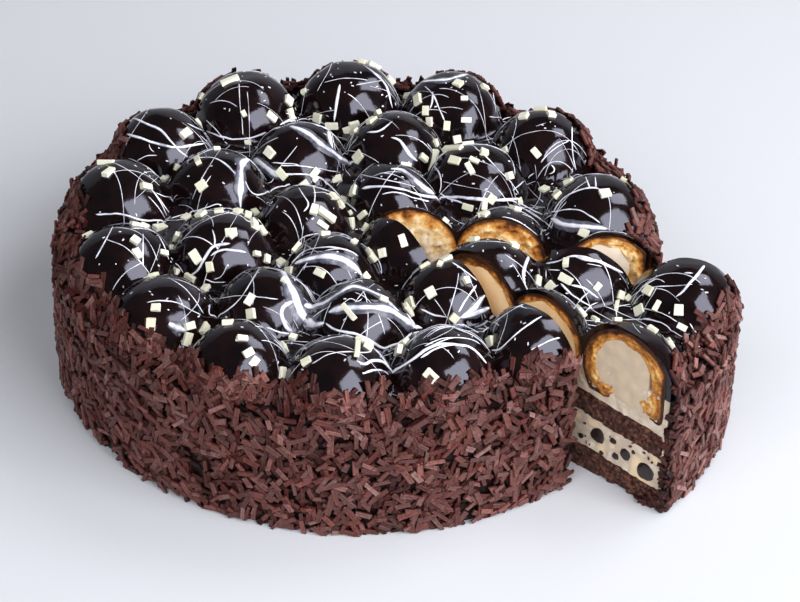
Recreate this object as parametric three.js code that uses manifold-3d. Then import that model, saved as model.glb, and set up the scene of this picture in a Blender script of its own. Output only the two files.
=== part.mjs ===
// A round cream cake topped with glazed profiteroles, with one slice drawn part-way out of it.
// Lengths are millimetres and angles degrees. +Z is up, and the cake stands on z = 0.

import * as THREE from 'three';
import { mergeVertices } from 'three/addons/utils/BufferGeometryUtils.js';
import Module from 'manifold-3d';

// Layers, from the foot up
const LAYER_RADIUS = 115.5;
const BASE_SPONGE_TOP = 10;
const LOWER_CREAM_TOP = 24.8;
const MIDDLE_SPONGE_TOP = 35;
const UPPER_CREAM_TOP = 51;
const GAP = 0.3;

// Profiteroles: azimuth, distance from the cake's axis, radius over the glaze
const OUTER_RING = [
  [146, 96.5, 20.5], [120, 95.5, 21.5], [93, 93.5, 21.5], [66.5, 96, 21], [39, 96, 21],
  [7, 95.5, 21.5], [-15.5, 100.5, 20.5], [-47.5, 95.5, 21.6], [-70, 94.5, 19.5], [-93.5, 97, 20],
  [-116, 98, 19], [-139.5, 95, 20], [-162, 94.5, 20], [171, 94.5, 20.5],
];
const MIDDLE_RING = [
  [155.5, 61.5, 20], [116.5, 55, 19.5], [76.5, 58.5, 20], [36.5, 58.5, 20], [-10.5, 57, 19.5],
  [-51.5, 57, 18.9], [-88, 61.5, 19.7], [-121.5, 64, 19.5], [-160, 55, 21],
];
const INNER_RING = [[168, 22, 18.5], [59.5, 25.5, 18.5], [-31, 24, 20.3], [-108, 31, 18.5]];
const CHOUX_MIDDLE = 51;
const CHOUX_FOOT = 38.3;
const CHOUX_BEND = 0.62;
const CHOUX_WALL = 4.2;
const CREAM_DROP = 2;

// The cream of the innermost cut profiterole lies to one side, so one of its cut faces is all crumb
const ONE_SIDED_CREAM = { node: 'inner_03', x: -0.6, y: -3.1, wall: 5.6 };

// Glaze: a skin on the domes and a pool between them that slopes down to the rim
const GLAZE_SKIN = 1.9;
const POOL_TOP = 55;
const POOL_SHOULDER = 98;
const POOL_EDGE = 52.2;

// White chocolate drizzle: one S-shaped strand over the crown of every fourth profiterole
const STRAND_STEP = 4;
const STRAND_REACH = 0.72;
const STRAND_WIDTH = 2.4;
const STRAND_RISE = 1.8;
const STRAND_SWAY = 5;
const STRAND_POINTS = 6;

// White chocolate blocks on the glaze
const BLOCKS = 20;
const BLOCK_SIZE = [4.6, 3.4, 3];
const BLOCK_REACH = 100;
const BLOCK_SINK = 0.35;

// Coat of chocolate flakes: a wall round the layers and against the outer domes
const COAT_FOOT = 0.8;
const COAT_INNER = LAYER_RADIUS + GAP;
const COAT_OUTER = 119.2;
const COAT_SHOULDER = 118;
const COAT_TOP = 52.6;
const COAT_BELLY = 14;
const COAT_TAPER = 0.6;
const COAT_RIM = 0.8;
const WALL_FLAKES = 35;
const FLAKE_SIZE = [9.5, 2.4, 1.6];
const FLAKE_SINK = 0.3;
const FLAKE_CLEAR = 0.6;
const FACET_INSET = 0.5;

// Flakes on the outer profiteroles, above the wall: how far they spread and how high they lie
const FLAKES_PER_DOME = 2;
const DOME_FLAKE_SPREAD = 32;
const DOME_FLAKE_STRAY = 6;
const DOME_FLAKE_RISE = [24, 44];
const DOME_FLAKE_SPIN = 0.8;

// The slice: its two cuts, and how far it is drawn out and turned
const LEFT_CUT = -46;
const RIGHT_CUT = -11;
const SLICE_MOVE = [29.4, -22.6, 0];
const SLICE_TURN = 4;
const CUT_OVERRUN = 20;

// Chocolate balls that the left cut runs through: distance from the axis, height, radius
const BALLS = [[84.9, 18.6, 3.4], [98, 17.3, 2.4], [107.9, 14.4, 3.6]];

// Facets
const ROUND = 40;
const DOME_ROUND = 10;
const DOME_RINGS = 6;
const HIDDEN_ROUND = 6;
const HOLLOW_ROUND = 10;
const HOLLOW_RINGS = 6;
const SEED = 41;
const GOLDEN = 0.6180339887;
const SCRAP_VOLUME = 20;

const wasm = await Module();
wasm.setup();

const radians = THREE.MathUtils.degToRad;

// A repeatable stream of numbers between 0 and 1
function numberStream(seed) {
  const [factor, step, span] = [1664525, 1013904223, 2 ** 32];
  let state = seed;
  return () => {
    state = (state * factor + step) % span;
    return state / span;
  };
}
const draw = numberStream(SEED);
const between = (low, high) => low + (high - low) * draw();

// A closed solid from a geometry: doubled corners merged, empty triangles left out
function solidOf(geometry) {
  geometry.deleteAttribute('normal');
  geometry.deleteAttribute('uv');
  const merged = mergeVertices(geometry);
  const corners = merged.index.array;
  const triangles = [];
  for (let i = 0; i < corners.length; i += 3) {
    const [a, b, c] = [corners[i], corners[i + 1], corners[i + 2]];
    if (a !== b && b !== c && c !== a) triangles.push(a, b, c);
  }
  const vertProperties = new Float32Array(merged.attributes.position.array);
  return new wasm.Manifold(new wasm.Mesh({
    numProp: 3, vertProperties, triVerts: new Uint32Array(triangles),
  }));
}

// The geometry of a finished solid
function geometryOf(solid) {
  const { vertProperties, triVerts } = solid.getMesh();
  const geometry = new THREE.BufferGeometry();
  geometry.setAttribute('position', new THREE.BufferAttribute(vertProperties, 3));
  geometry.setIndex(new THREE.BufferAttribute(triVerts, 1));
  geometry.computeVertexNormals();
  return geometry;
}

const join = (solids) => solids.reduce((whole, next) => whole.add(next));

// The bodies of a solid, largest first, without loose scraps
function bodiesOf(solid) {
  return solid.decompose()
    .filter((body) => body.volume() > SCRAP_VOLUME)
    .sort((a, b) => b.volume() - a.volume());
}
const mainBody = (solid) => bodiesOf(solid)[0];

// Basic shapes, standing along Z
function disc(radius, low, high) {
  const geometry = new THREE.CylinderGeometry(radius, radius, high - low, ROUND);
  geometry.rotateX(Math.PI / 2).translate(0, 0, (low + high) / 2);
  return solidOf(geometry);
}

function turned(profile, around, x = 0, y = 0) {
  const points = profile.map(([r, z]) => new THREE.Vector2(r, z));
  return solidOf(new THREE.LatheGeometry(points, around).rotateX(Math.PI / 2).translate(x, y, 0));
}

function ball(x, y, z, radius, around = DOME_ROUND, rings = DOME_RINGS) {
  const geometry = new THREE.SphereGeometry(radius, around, rings);
  geometry.rotateX(Math.PI / 2).translate(x, y, z);
  return solidOf(geometry);
}

// A box whose local Z follows a surface's outward direction, turned round it by a spin
function laidBox(size, place, outward, spin) {
  const lift = new THREE.Quaternion().setFromUnitVectors(new THREE.Vector3(0, 0, 1), outward);
  const twist = new THREE.Quaternion().setFromAxisAngle(outward, spin);
  const geometry = new THREE.BoxGeometry(...size);
  geometry.applyQuaternion(twist.multiply(lift)).translate(place.x, place.y, place.z);
  return solidOf(geometry);
}

// The wedge between the two cuts, taller than the cake and longer than its radius
function slicePrism() {
  const reach = 2 * LAYER_RADIUS;
  const shape = new THREE.Shape();
  shape.moveTo(0, 0);
  for (const azimuth of [LEFT_CUT, (LEFT_CUT + RIGHT_CUT) / 2, RIGHT_CUT]) {
    shape.lineTo(reach * Math.cos(radians(azimuth)), reach * Math.sin(radians(azimuth)));
  }
  const depth = 2 * (CHOUX_MIDDLE + CUT_OVERRUN);
  const geometry = new THREE.ExtrudeGeometry(shape, { depth, bevelEnabled: false });
  return solidOf(geometry.translate(0, 0, -CUT_OVERRUN));
}
const prism = slicePrism();

// The profiteroles as places and sizes
function placeRing(rows, ring) {
  return rows.map(([azimuth, distance, radius], i) => ({
    node: `${ring}_${String(i + 1).padStart(2, '0')}`,
    x: distance * Math.cos(radians(azimuth)),
    y: distance * Math.sin(radians(azimuth)),
    azimuth,
    radius,
  }));
}
const outerDomes = placeRing(OUTER_RING, 'outer');
const domes = [...outerDomes, ...placeRing(MIDDLE_RING, 'middle'), ...placeRing(INNER_RING, 'inner')];

// Choux under its glaze: grown by an allowance, it is the pocket that it sits in
const chouxRadius = (dome) => dome.radius - GLAZE_SKIN - GAP;

// A cut profiterole near the rim is flat against the coat, and so is the cream in it
const chouxReach = LAYER_RADIUS - GLAZE_SKIN - GAP;
const within = (reach, foot) => disc(reach, foot, 4 * CHOUX_MIDDLE);

function wholeChoux(dome, allowance) {
  const radius = chouxRadius(dome) + allowance;
  const foot = CHOUX_FOOT - allowance;
  const drop = CHOUX_MIDDLE - foot;
  const profile = [
    [0, foot],
    [Math.sqrt(radius ** 2 - drop ** 2), foot],
    [radius, CHOUX_MIDDLE],
    [radius * Math.sqrt(1 - CHOUX_BEND ** 2), CHOUX_MIDDLE + radius * CHOUX_BEND],
    [0, CHOUX_MIDDLE + radius],
  ];
  return turned(profile, HIDDEN_ROUND, dome.x, dome.y);
}

function roundChoux(dome, allowance) {
  const radius = chouxRadius(dome) + allowance;
  const bun = ball(dome.x, dome.y, CHOUX_MIDDLE, radius);
  return bun.intersect(within(chouxReach + allowance, CHOUX_FOOT - allowance));
}

function creamCore(dome, allowance) {
  const aside = dome.node === ONE_SIDED_CREAM.node ? ONE_SIDED_CREAM : { x: 0, y: 0, wall: CHOUX_WALL };
  const radius = chouxRadius(dome) - aside.wall + allowance;
  const core = ball(
    dome.x + aside.x, dome.y + aside.y, CHOUX_MIDDLE - CREAM_DROP, radius, HOLLOW_ROUND, HOLLOW_RINGS,
  );
  return core.intersect(within(chouxReach - aside.wall + allowance, 0));
}

// A profiterole is cut where its choux reaches over one of the slice's cuts
function isCut(dome) {
  const shared = roundChoux(dome, 0).intersect(prism).volume();
  return shared > SCRAP_VOLUME;
}
const cutDomes = domes.filter(isCut);
const uncutDomes = domes.filter((dome) => !cutDomes.includes(dome));
const pocketOf = (dome) => (cutDomes.includes(dome) ? roundChoux(dome, GAP) : wholeChoux(dome, GAP));
const pockets = join(domes.map(pocketOf));

// Materials by what the piece is made of
const finish = (color, roughness) => ({ color, roughness, metalness: 0 });
const SPONGE = finish(0x33211a, 0.95);
const CREAM = finish(0xd9c9ab, 0.6);
const CHOUX = finish(0xb8752f, 0.85);
const GLAZE = finish(0x140c0b, 0.12);
const FLAKE = finish(0x4f2f29, 0.7);
const DARK = finish(0x1c1414, 0.45);

function mesh(name, solid, look) {
  const made = new THREE.Mesh(geometryOf(solid), new THREE.MeshStandardMaterial(look));
  made.name = name;
  return made;
}

const cake = new THREE.Group();
const slice = new THREE.Group();
slice.position.set(...SLICE_MOVE);
slice.rotation.z = radians(SLICE_TURN);

// A piece that both the cake and its slice share is cut in two
function share(name, solid, look) {
  cake.add(mesh(name, mainBody(solid.subtract(prism)), look));
  slice.add(mesh(`slice_${name}`, mainBody(solid.intersect(prism)), look));
}

// Layers of sponge and cream
share('base_sponge', disc(LAYER_RADIUS, 0, BASE_SPONGE_TOP), SPONGE);
share('middle_sponge', disc(LAYER_RADIUS, LOWER_CREAM_TOP + GAP, MIDDLE_SPONGE_TOP), SPONGE);
share('upper_cream', disc(LAYER_RADIUS, MIDDLE_SPONGE_TOP + GAP, UPPER_CREAM_TOP).subtract(pockets), CREAM);

// Lower cream, with the chocolate balls that show on the slice's left face
const lowerCream = disc(LAYER_RADIUS, BASE_SPONGE_TOP + GAP, LOWER_CREAM_TOP);
cake.add(mesh('lower_cream', mainBody(lowerCream.subtract(prism)), CREAM));
const onLeftCut = (distance) => [
  distance * Math.cos(radians(LEFT_CUT)), distance * Math.sin(radians(LEFT_CUT)),
];
let slicedCream = lowerCream.intersect(prism);
BALLS.forEach(([distance, height, radius], i) => {
  const whole = (allowance) => (
    ball(...onLeftCut(distance), height, radius + allowance, HOLLOW_ROUND, HOLLOW_RINGS)
  );
  slice.add(mesh(`slice_chocolate_ball_${i + 1}`, whole(0).intersect(prism), DARK));
  slicedCream = slicedCream.subtract(whole(GAP));
});
slice.add(mesh('slice_lower_cream', mainBody(slicedCream), CREAM));

// Whole profiteroles
for (const dome of uncutDomes) {
  cake.add(mesh(`choux_${dome.node}`, wholeChoux(dome, 0), CHOUX));
}

// Cut profiteroles: a shell of choux and its cream, on the cake and on the slice
for (const dome of cutDomes) {
  const shell = roundChoux(dome, 0).subtract(creamCore(dome, 0));
  const core = creamCore(dome, -GAP).intersect(within(LAYER_RADIUS, CHOUX_FOOT));
  for (const [name, solid, look] of [['choux', shell, CHOUX], ['filling', core, CREAM]]) {
    const kept = bodiesOf(solid.subtract(prism));
    kept.forEach((body, i) => {
      const side = kept.length > 1 ? `_${i + 1}` : '';
      cake.add(mesh(`${name}_${dome.node}${side}`, body, look));
    });
    slice.add(mesh(`slice_${name}_${dome.node}`, mainBody(solid.intersect(prism)), look));
  }
}

// Height and outward direction of the glaze at a place in plan
function glazeAt(x, y) {
  const place = new THREE.Vector3(x, y, POOL_TOP);
  const outward = new THREE.Vector3(0, 0, 1);
  for (const dome of domes) {
    const rise = dome.radius ** 2 - (x - dome.x) ** 2 - (y - dome.y) ** 2;
    const top = CHOUX_MIDDLE + Math.sqrt(Math.max(rise, 0));
    if (top > place.z) {
      place.z = top;
      outward.set(x - dome.x, y - dome.y, top - CHOUX_MIDDLE).normalize();
    }
  }
  return { place, outward };
}

// White blocks, spread evenly by the golden angle, each lying on the glaze at a random spin
function whiteBlock(i) {
  const distance = BLOCK_REACH * Math.sqrt((i + 0.5) / BLOCKS);
  const azimuth = 2 * Math.PI * GOLDEN * i;
  const { place, outward } = glazeAt(distance * Math.cos(azimuth), distance * Math.sin(azimuth));
  place.addScaledVector(outward, BLOCK_SIZE[2] * (0.5 - BLOCK_SINK));
  return laidBox(BLOCK_SIZE, place, outward, between(0, Math.PI));
}
const blocks = join(Array.from({ length: BLOCKS }, (_, i) => whiteBlock(i)));

// A strand of drizzle: a flat diamond carried along an S over a profiterole's crown
function strand(dome) {
  const heading = between(0, Math.PI);
  const points = Array.from({ length: STRAND_POINTS }, (_, i) => {
    const t = 2 * i / (STRAND_POINTS - 1) - 1;
    const along = STRAND_REACH * dome.radius * t;
    const aside = STRAND_SWAY * Math.sin(Math.PI * t);
    const x = along * Math.cos(heading) - aside * Math.sin(heading);
    const y = along * Math.sin(heading) + aside * Math.cos(heading);
    const z = Math.sqrt(dome.radius ** 2 - x ** 2 - y ** 2) - FACET_INSET;
    return new THREE.Vector3(dome.x + x, dome.y + y, CHOUX_MIDDLE + z);
  });
  const section = new THREE.Shape([
    new THREE.Vector2(STRAND_WIDTH / 2, 0), new THREE.Vector2(0, STRAND_RISE / 2),
    new THREE.Vector2(-STRAND_WIDTH / 2, 0), new THREE.Vector2(0, -STRAND_RISE / 2),
  ]);
  const extrudePath = new THREE.CatmullRomCurve3(points);
  return solidOf(new THREE.ExtrudeGeometry(section, { steps: STRAND_POINTS, extrudePath, bevelEnabled: false }));
}
const drizzle = join(domes.filter((_, i) => i % STRAND_STEP === 0).map(strand));

// How far a flake's middle stands off the round that it lies on
const flakeLift = FLAKE_SIZE[2] * (0.5 - FLAKE_SINK) - FACET_INSET;

// Flakes of the coat that lie on the outer domes, above the wall
function domeFlakes(dome) {
  const made = [];
  for (let i = 0; i < FLAKES_PER_DOME; i += 1) {
    const aside = DOME_FLAKE_SPREAD * (i - (FLAKES_PER_DOME - 1) / 2);
    const swing = radians(dome.azimuth + aside + between(-DOME_FLAKE_STRAY, DOME_FLAKE_STRAY));
    const rise = radians(between(...DOME_FLAKE_RISE));
    const outward = new THREE.Vector3(
      Math.cos(rise) * Math.cos(swing), Math.cos(rise) * Math.sin(swing), Math.sin(rise),
    );
    const place = outward.clone().multiplyScalar(dome.radius + flakeLift);
    place.add(new THREE.Vector3(dome.x, dome.y, CHOUX_MIDDLE));
    made.push(laidBox(FLAKE_SIZE, place, outward, swing + between(-DOME_FLAKE_SPIN, DOME_FLAKE_SPIN)));
  }
  return made;
}

// Glaze: domes and pool, hollow over the choux and flat where the coat stands against it
const glazeFoot = UPPER_CREAM_TOP + GAP;
const pool = turned([
  [0, glazeFoot], [LAYER_RADIUS, glazeFoot], [LAYER_RADIUS, POOL_EDGE], [POOL_SHOULDER, POOL_TOP], [0, POOL_TOP],
], ROUND);
const glaze = join(domes.map((dome) => ball(dome.x, dome.y, CHOUX_MIDDLE, dome.radius)))
  .add(pool)
  .intersect(disc(LAYER_RADIUS, glazeFoot, 2 * CHOUX_MIDDLE))
  .add(blocks)
  .add(drizzle)
  .add(join(outerDomes.flatMap(domeFlakes)))
  .subtract(pockets);
share('glaze', glaze, GLAZE);

// Coat: a turned wall with flakes on it
function wallFlake(i) {
  const azimuth = 2 * Math.PI * GOLDEN * i;
  const low = COAT_FOOT + FLAKE_CLEAR * FLAKE_SIZE[0];
  const height = low + (UPPER_CREAM_TOP - 2 * low) * ((i + 0.5) / WALL_FLAKES);
  const outward = new THREE.Vector3(Math.cos(azimuth), Math.sin(azimuth), 0);
  const place = outward.clone().multiplyScalar(COAT_OUTER + flakeLift);
  place.z = height;
  return laidBox(FLAKE_SIZE, place, outward, between(0, Math.PI));
}
const wall = turned([
  [COAT_INNER, COAT_FOOT],
  [COAT_OUTER - COAT_TAPER, COAT_FOOT],
  [COAT_OUTER, COAT_BELLY],
  [COAT_SHOULDER, UPPER_CREAM_TOP],
  [COAT_INNER + COAT_RIM, COAT_TOP],
  [COAT_INNER, COAT_TOP],
  [COAT_INNER, COAT_FOOT],
], ROUND);
share('side_coat', wall.add(join(Array.from({ length: WALL_FLAKES }, (_, i) => wallFlake(i)))), FLAKE);

// The whole, moved so that the middle of its box stands on the origin
const whole = new THREE.Group();
whole.add(cake, slice);
const box = new THREE.Box3().setFromObject(whole, true);
const middle = box.getCenter(new THREE.Vector3());
whole.position.set(-middle.x, -middle.y, -box.min.z);

const profiteroleCake = new THREE.Group();
profiteroleCake.add(whole);
profiteroleCake.updateMatrixWorld(true);

export default profiteroleCake;
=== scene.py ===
# %% [markdown]
# # A profiterole cake with one slice drawn out
# The cake is a stack of sponge and cream, set with glazed profiteroles and coated with chocolate flakes. The
# solids come from the frame, in metres. Here they get their fine surfaces, their toppings and their finishes.
# Every shape below is worked out in millimetres from the cake's own axis, and one function puts it where the
# frame has it.

# %% Load the frame
import math
from types import SimpleNamespace

import bpy
import numpy as np
from mathutils import Matrix, Vector


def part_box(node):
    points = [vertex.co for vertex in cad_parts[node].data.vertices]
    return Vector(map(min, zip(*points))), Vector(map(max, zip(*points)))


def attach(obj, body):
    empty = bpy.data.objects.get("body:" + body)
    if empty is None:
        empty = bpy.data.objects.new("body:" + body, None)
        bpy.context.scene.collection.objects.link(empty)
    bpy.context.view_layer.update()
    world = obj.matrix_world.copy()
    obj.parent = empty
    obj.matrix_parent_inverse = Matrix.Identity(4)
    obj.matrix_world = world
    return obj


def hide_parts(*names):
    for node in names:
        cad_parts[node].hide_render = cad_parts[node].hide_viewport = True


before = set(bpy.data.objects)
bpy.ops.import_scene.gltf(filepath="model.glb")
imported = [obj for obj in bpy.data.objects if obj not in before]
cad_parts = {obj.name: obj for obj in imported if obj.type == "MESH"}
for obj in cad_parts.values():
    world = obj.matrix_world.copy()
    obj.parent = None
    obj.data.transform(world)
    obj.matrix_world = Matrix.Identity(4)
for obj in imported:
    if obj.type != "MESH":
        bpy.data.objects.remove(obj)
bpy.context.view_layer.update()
print("frame:", len(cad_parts), "nodes")

# %% [markdown]
# ## Sizes
# The layers, the profiteroles and the two cuts have the sizes of the solids. A profiterole is given by its
# azimuth, its distance from the axis and its radius over the glaze. They could be measured from the frame's
# boxes, but a cut profiterole's box doesn't show its middle, so the three rings are written out.

# %% Sizes of the cake
MM = 0.001
LAYER_RADIUS = 115.5
LAYERS = {
    "base_sponge": (0.0, 10.0),
    "lower_cream": (10.0, 24.8),
    "middle_sponge": (24.8, 35.0),
    "upper_cream": (35.0, 51.0),
}
RINGS = {
    "outer": [
        (146, 96.5, 20.5), (120, 95.5, 21.5), (93, 93.5, 21.5), (66.5, 96, 21), (39, 96, 21),
        (7, 95.5, 21.5), (-15.5, 100.5, 20.5), (-47.5, 95.5, 21.6), (-70, 94.5, 19.5), (-93.5, 97, 20),
        (-116, 98, 19), (-139.5, 95, 20), (-162, 94.5, 20), (171, 94.5, 20.5),
    ],
    "middle": [
        (155.5, 61.5, 20), (116.5, 55, 19.5), (76.5, 58.5, 20), (36.5, 58.5, 20), (-10.5, 57, 19.5),
        (-51.5, 57, 18.9), (-88, 61.5, 19.7), (-121.5, 64, 19.5), (-160, 55, 21),
    ],
    "inner": [(168, 22, 18.5), (59.5, 25.5, 18.5), (-31, 24, 20.3), (-108, 31, 18.5)],
}

# The two halves of a cut bun sit and bulge differently: moves outwards and growths, in millimetres
CAKE_CHANGES = {"outer_08": (3.2, -2.1)}
SLICE_CHANGES = {
    "outer_07": (-3.0, 0.0), "outer_08": (0.0, 0.6), "middle_06": (0.0, 0.7), "inner_03": (0.0, 0.9),
}
CHOUX_MIDDLE = 51.0
CHOUX_FOOT = 38.3
LEFT_CUT = -46.0
RIGHT_CUT = -11.0
SLICE_TURN = math.radians(4.0)
SLICE_MOVE = np.array([29.4, -22.6, 0.0])

# The cake runs from the right cut round to the left cut, and the slice between them
CAKE_SPAN = (RIGHT_CUT, LEFT_CUT + 360.0)
SLICE_SPAN = (LEFT_CUT, RIGHT_CUT)

low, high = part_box("base_sponge")
CAKE_AXIS = np.array([low.x + high.x, low.y + high.y, 0.0]) / 2 / MM


def ring_domes(changes):
    """Middle in plan and radius of each profiterole, from its azimuth and its distance from the axis."""
    domes = {}
    for ring, members in RINGS.items():
        for number, (azimuth, distance, radius) in enumerate(members, 1):
            name = f"{ring}_{number:02d}"
            outwards, growth = changes.get(name, (0.0, 0.0))
            turn = math.radians(azimuth)
            reach = distance + outwards
            domes[name] = (reach * math.cos(turn), reach * math.sin(turn), radius + growth)
    return domes


# Asked for with True for the slice and False for the cake
SPANS = {False: CAKE_SPAN, True: SLICE_SPAN}
DOMES = {False: ring_domes(CAKE_CHANGES), True: ring_domes(SLICE_CHANGES)}
print("profiteroles:", len(DOMES[False]), "axis at", CAKE_AXIS.round(2), "mm")

# %% [markdown]
# ## From numbers to a mesh
# A part is a set of points, blocks of faces and values on the points. Blender could build each with its mesh
# operators, but arrays written straight into a mesh are quick and give the same result on every run. The
# volume that the faces enclose tells whether they point outwards: where it is negative, they are turned
# round.

# %% Parts
SLICE_ROTATION = np.array([
    [math.cos(SLICE_TURN), math.sin(SLICE_TURN), 0.0],
    [-math.sin(SLICE_TURN), math.cos(SLICE_TURN), 0.0],
    [0.0, 0.0, 1.0],
])


def in_frame(points, in_slice):
    """Slice points are turned about the axis and moved out; all are shifted to the frame, in metres."""
    if in_slice:
        points = points @ SLICE_ROTATION + SLICE_MOVE
    return (points + CAKE_AXIS) * MM


def ring_quads(rings):
    """Quads between each closed ring of point numbers and the next."""
    after = np.roll(rings, -1, axis=1)
    return np.stack([rings[:-1], after[:-1], after[1:], rings[1:]], axis=-1).reshape(-1, 4)


def tube_blocks(rows, columns):
    """Faces of a tube of closed rings, with a flat cap at either end."""
    rings = np.arange(rows * columns).reshape(rows, columns)
    return [ring_quads(rings), rings[:1, ::-1], rings[-1:]]


def turned_out(part):
    """The part with its faces outwards: the sum of corner triple products is six times the volume."""
    points, blocks, values = part
    volume = 0.0
    for block in blocks:
        for k in range(1, block.shape[1] - 1):
            a, b, c = points[block[:, 0]], points[block[:, k]], points[block[:, k + 1]]
            volume += np.einsum("ij,ij->", a, np.cross(b, c))
    if volume < 0:
        blocks = [block[:, ::-1] for block in blocks]
    return points, blocks, values


def join_parts(parts):
    """One part from many: points and values one after another, face numbers moved up to match."""
    points, blocks, values = [], {}, {}
    count = 0
    for part_points, part_blocks, part_values in map(turned_out, parts):
        points.append(part_points)
        for block in part_blocks:
            blocks.setdefault(block.shape[1], []).append(block + count)
        for name, value in part_values.items():
            values.setdefault(name, []).append(value)
        count += len(part_points)
    joined = [np.concatenate(group) for group in blocks.values()]
    return np.concatenate(points), joined, {name: np.concatenate(v) for name, v in values.items()}


print("slice: turned", round(math.degrees(SLICE_TURN), 1), "degrees and moved", SLICE_MOVE, "mm")

# %% Pieces
def add_piece(name, parts, material, nodes, in_slice=False, sharp=None):
    """A mesh object from parts, riding on the body and standing for its nodes.

    With a sharp angle the faces are smooth up to it, without one they are flat.
    """
    points, blocks, values = join_parts(parts)
    corners = np.concatenate([block.ravel() for block in blocks]).astype(np.int32)
    sizes = np.concatenate([np.full(len(block), block.shape[1]) for block in blocks])
    starts = np.concatenate([[0], np.cumsum(sizes)[:-1]]).astype(np.int32)
    mesh = bpy.data.meshes.new(name)
    mesh.vertices.add(len(points))
    mesh.vertices.foreach_set("co", in_frame(points, in_slice).astype(np.float32).ravel())
    mesh.loops.add(len(corners))
    mesh.loops.foreach_set("vertex_index", corners)
    mesh.polygons.add(len(sizes))
    mesh.polygons.foreach_set("loop_start", starts)
    mesh.polygons.foreach_set("use_smooth", np.full(len(sizes), sharp is not None))
    mesh.update(calc_edges=True)
    if sharp is not None:
        mesh.set_sharp_from_angle(angle=math.radians(sharp))
    for value_name, value in values.items():
        attribute = mesh.attributes.new(value_name, "FLOAT", "POINT")
        attribute.data.foreach_set("value", value.astype(np.float32))
    mesh.materials.append(material)
    piece = bpy.data.objects.new(name, mesh)
    bpy.context.collection.objects.link(piece)
    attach(piece, "root")
    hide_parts(*nodes)
    print(f"{name}: {int((sizes - 2).sum())} triangles")
    return piece


# %% [markdown]
# ## Noise for uneven food
# Nothing on a cake is quite regular. A small lattice of random values, blended smoothly between its corners,
# gives the same gentle unevenness at any point that is asked for, so neighbouring pieces agree where they
# meet. Blender's own noise functions take one point a call, and a lattice in numpy takes thousands at once.
# Points that are shifted by a large number give another noise of the same kind.

# %% Value noise
LATTICE_SIZE, LATTICE_SHIFT = 32, 64.5
LATTICE = np.random.default_rng(7).random((LATTICE_SIZE, LATTICE_SIZE, LATTICE_SIZE))


def noise(points, size):
    """Values from -1 to 1 that change over about the given size: lattice corners blended by 3f^2 - 2f^3."""
    spread = np.asarray(points) / size + LATTICE_SHIFT
    cell = np.floor(spread).astype(int)
    part = spread - cell
    part = part * part * (3 - 2 * part)
    total = np.zeros(part.shape[:-1])
    for corner in np.ndindex(2, 2, 2):
        weight = np.where(corner, part, 1 - part).prod(axis=-1)
        at = (cell + corner) % LATTICE_SIZE
        total += weight * LATTICE[at[..., 0], at[..., 1], at[..., 2]]
    return 2 * total - 1


def ease(value, start, end):
    """A smooth step from 0 at start to 1 at end: 3t^2 - 2t^3."""
    t = np.clip((value - start) / (end - start), 0, 1)
    return t * t * (3 - 2 * t)


print("noise lattice:", LATTICE.shape)

# %% [markdown]
# ## Bars
# Flakes, blocks, specks and crumbs are all small bars. One function makes any number of them at once, each
# with its own place, turn and size. Copies of one mesh would do too, but would make thousands of objects.

# %% Straight bars
SQUARE = np.array([(-0.5, -0.5), (0.5, -0.5), (0.5, 0.5), (-0.5, 0.5)])
GROOVED = np.array([
    (-0.5, -0.5), (0.5, -0.5), (0.5, 0.3), (0.38, 0.5), (0.0, 0.4), (-0.38, 0.5), (-0.5, 0.3),
])
BAR_TAPER, LOWEST = 0.15, 0.05


def bars(centres, normals, sizes, tone, lean, draw, section=SQUARE, skew=0.0):
    """Straight bars lying on normals: the section's corners at either end, the ends cut a little askew.

    With L along the bar, W across it and N its normal, a corner is centre + t L + w W + n N.
    """
    count, corners = len(centres), len(section)
    leaning = normals + lean * draw.standard_normal((count, 3))
    leaning /= np.linalg.norm(leaning, axis=1, keepdims=True)
    level = np.cross([0.0, 0.0, 1.0], leaning)
    level /= np.linalg.norm(level, axis=1, keepdims=True)
    rising = np.cross(leaning, level)
    spin = draw.uniform(0, math.pi, (count, 1))
    lengthwise = np.cos(spin) * level + np.sin(spin) * rising
    crosswise = np.cross(leaning, lengthwise)
    length, width, thick = sizes.T[..., None, None]
    w = width * section[:, 0] * (1 - BAR_TAPER * draw.random((count, 2, 1)))
    t = length * np.array([[-0.5], [0.5]]) + skew * draw.standard_normal((count, 2, 1)) * w
    n = thick * section[:, 1] * np.ones((2, 1))
    points = centres[:, None, None, :] + sum(
        share[..., None] * axis[:, None, None, :]
        for share, axis in ((t, lengthwise), (w, crosswise), (n, leaning))
    )
    near = np.arange(corners)
    far = near + corners
    sides = np.stack([near, np.roll(near, -1), np.roll(far, -1), far], axis=-1)
    caps = np.stack([near[::-1], far])
    first = 2 * corners * np.arange(count)[:, None, None]
    points = points.reshape(-1, 3)
    points[:, 2] = np.maximum(points[:, 2], LOWEST)
    blocks = [(sides + first).reshape(-1, 4), (caps + first).reshape(-1, corners)]
    return points, blocks, {"tone": np.repeat(tone, 2 * corners)}


print("bar sections:", len(SQUARE), "and", len(GROOVED), "corners")

# %% [markdown]
# ## Materials
# Each finish is a Principled shader with its own noise on Object coordinates, so that it stays with the piece
# from every side. Painted images could carry more, but every piece would need its own unwrapping. Colours are
# written as they look on a screen and turned into linear light. Values that are the same all over a surface
# are set on the shader itself.

# %% Colours and new materials
def colour(red, green, blue):
    """Screen values from 0 to 255 as linear red, green, blue and a full alpha."""
    channels = np.array([red, green, blue]) / 255
    linear = np.where(channels <= 0.04045, channels / 12.92, ((channels + 0.055) / 1.055) ** 2.4)
    return (*linear, 1.0)


def screen(stops):
    """Stops of a ramp with their screen colours turned into linear light."""
    return [(at, colour(*shade)) for at, shade in stops]


def grey(level):
    """One value, such as a roughness, written as a colour."""
    return (level, level, level, 1.0)


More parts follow.
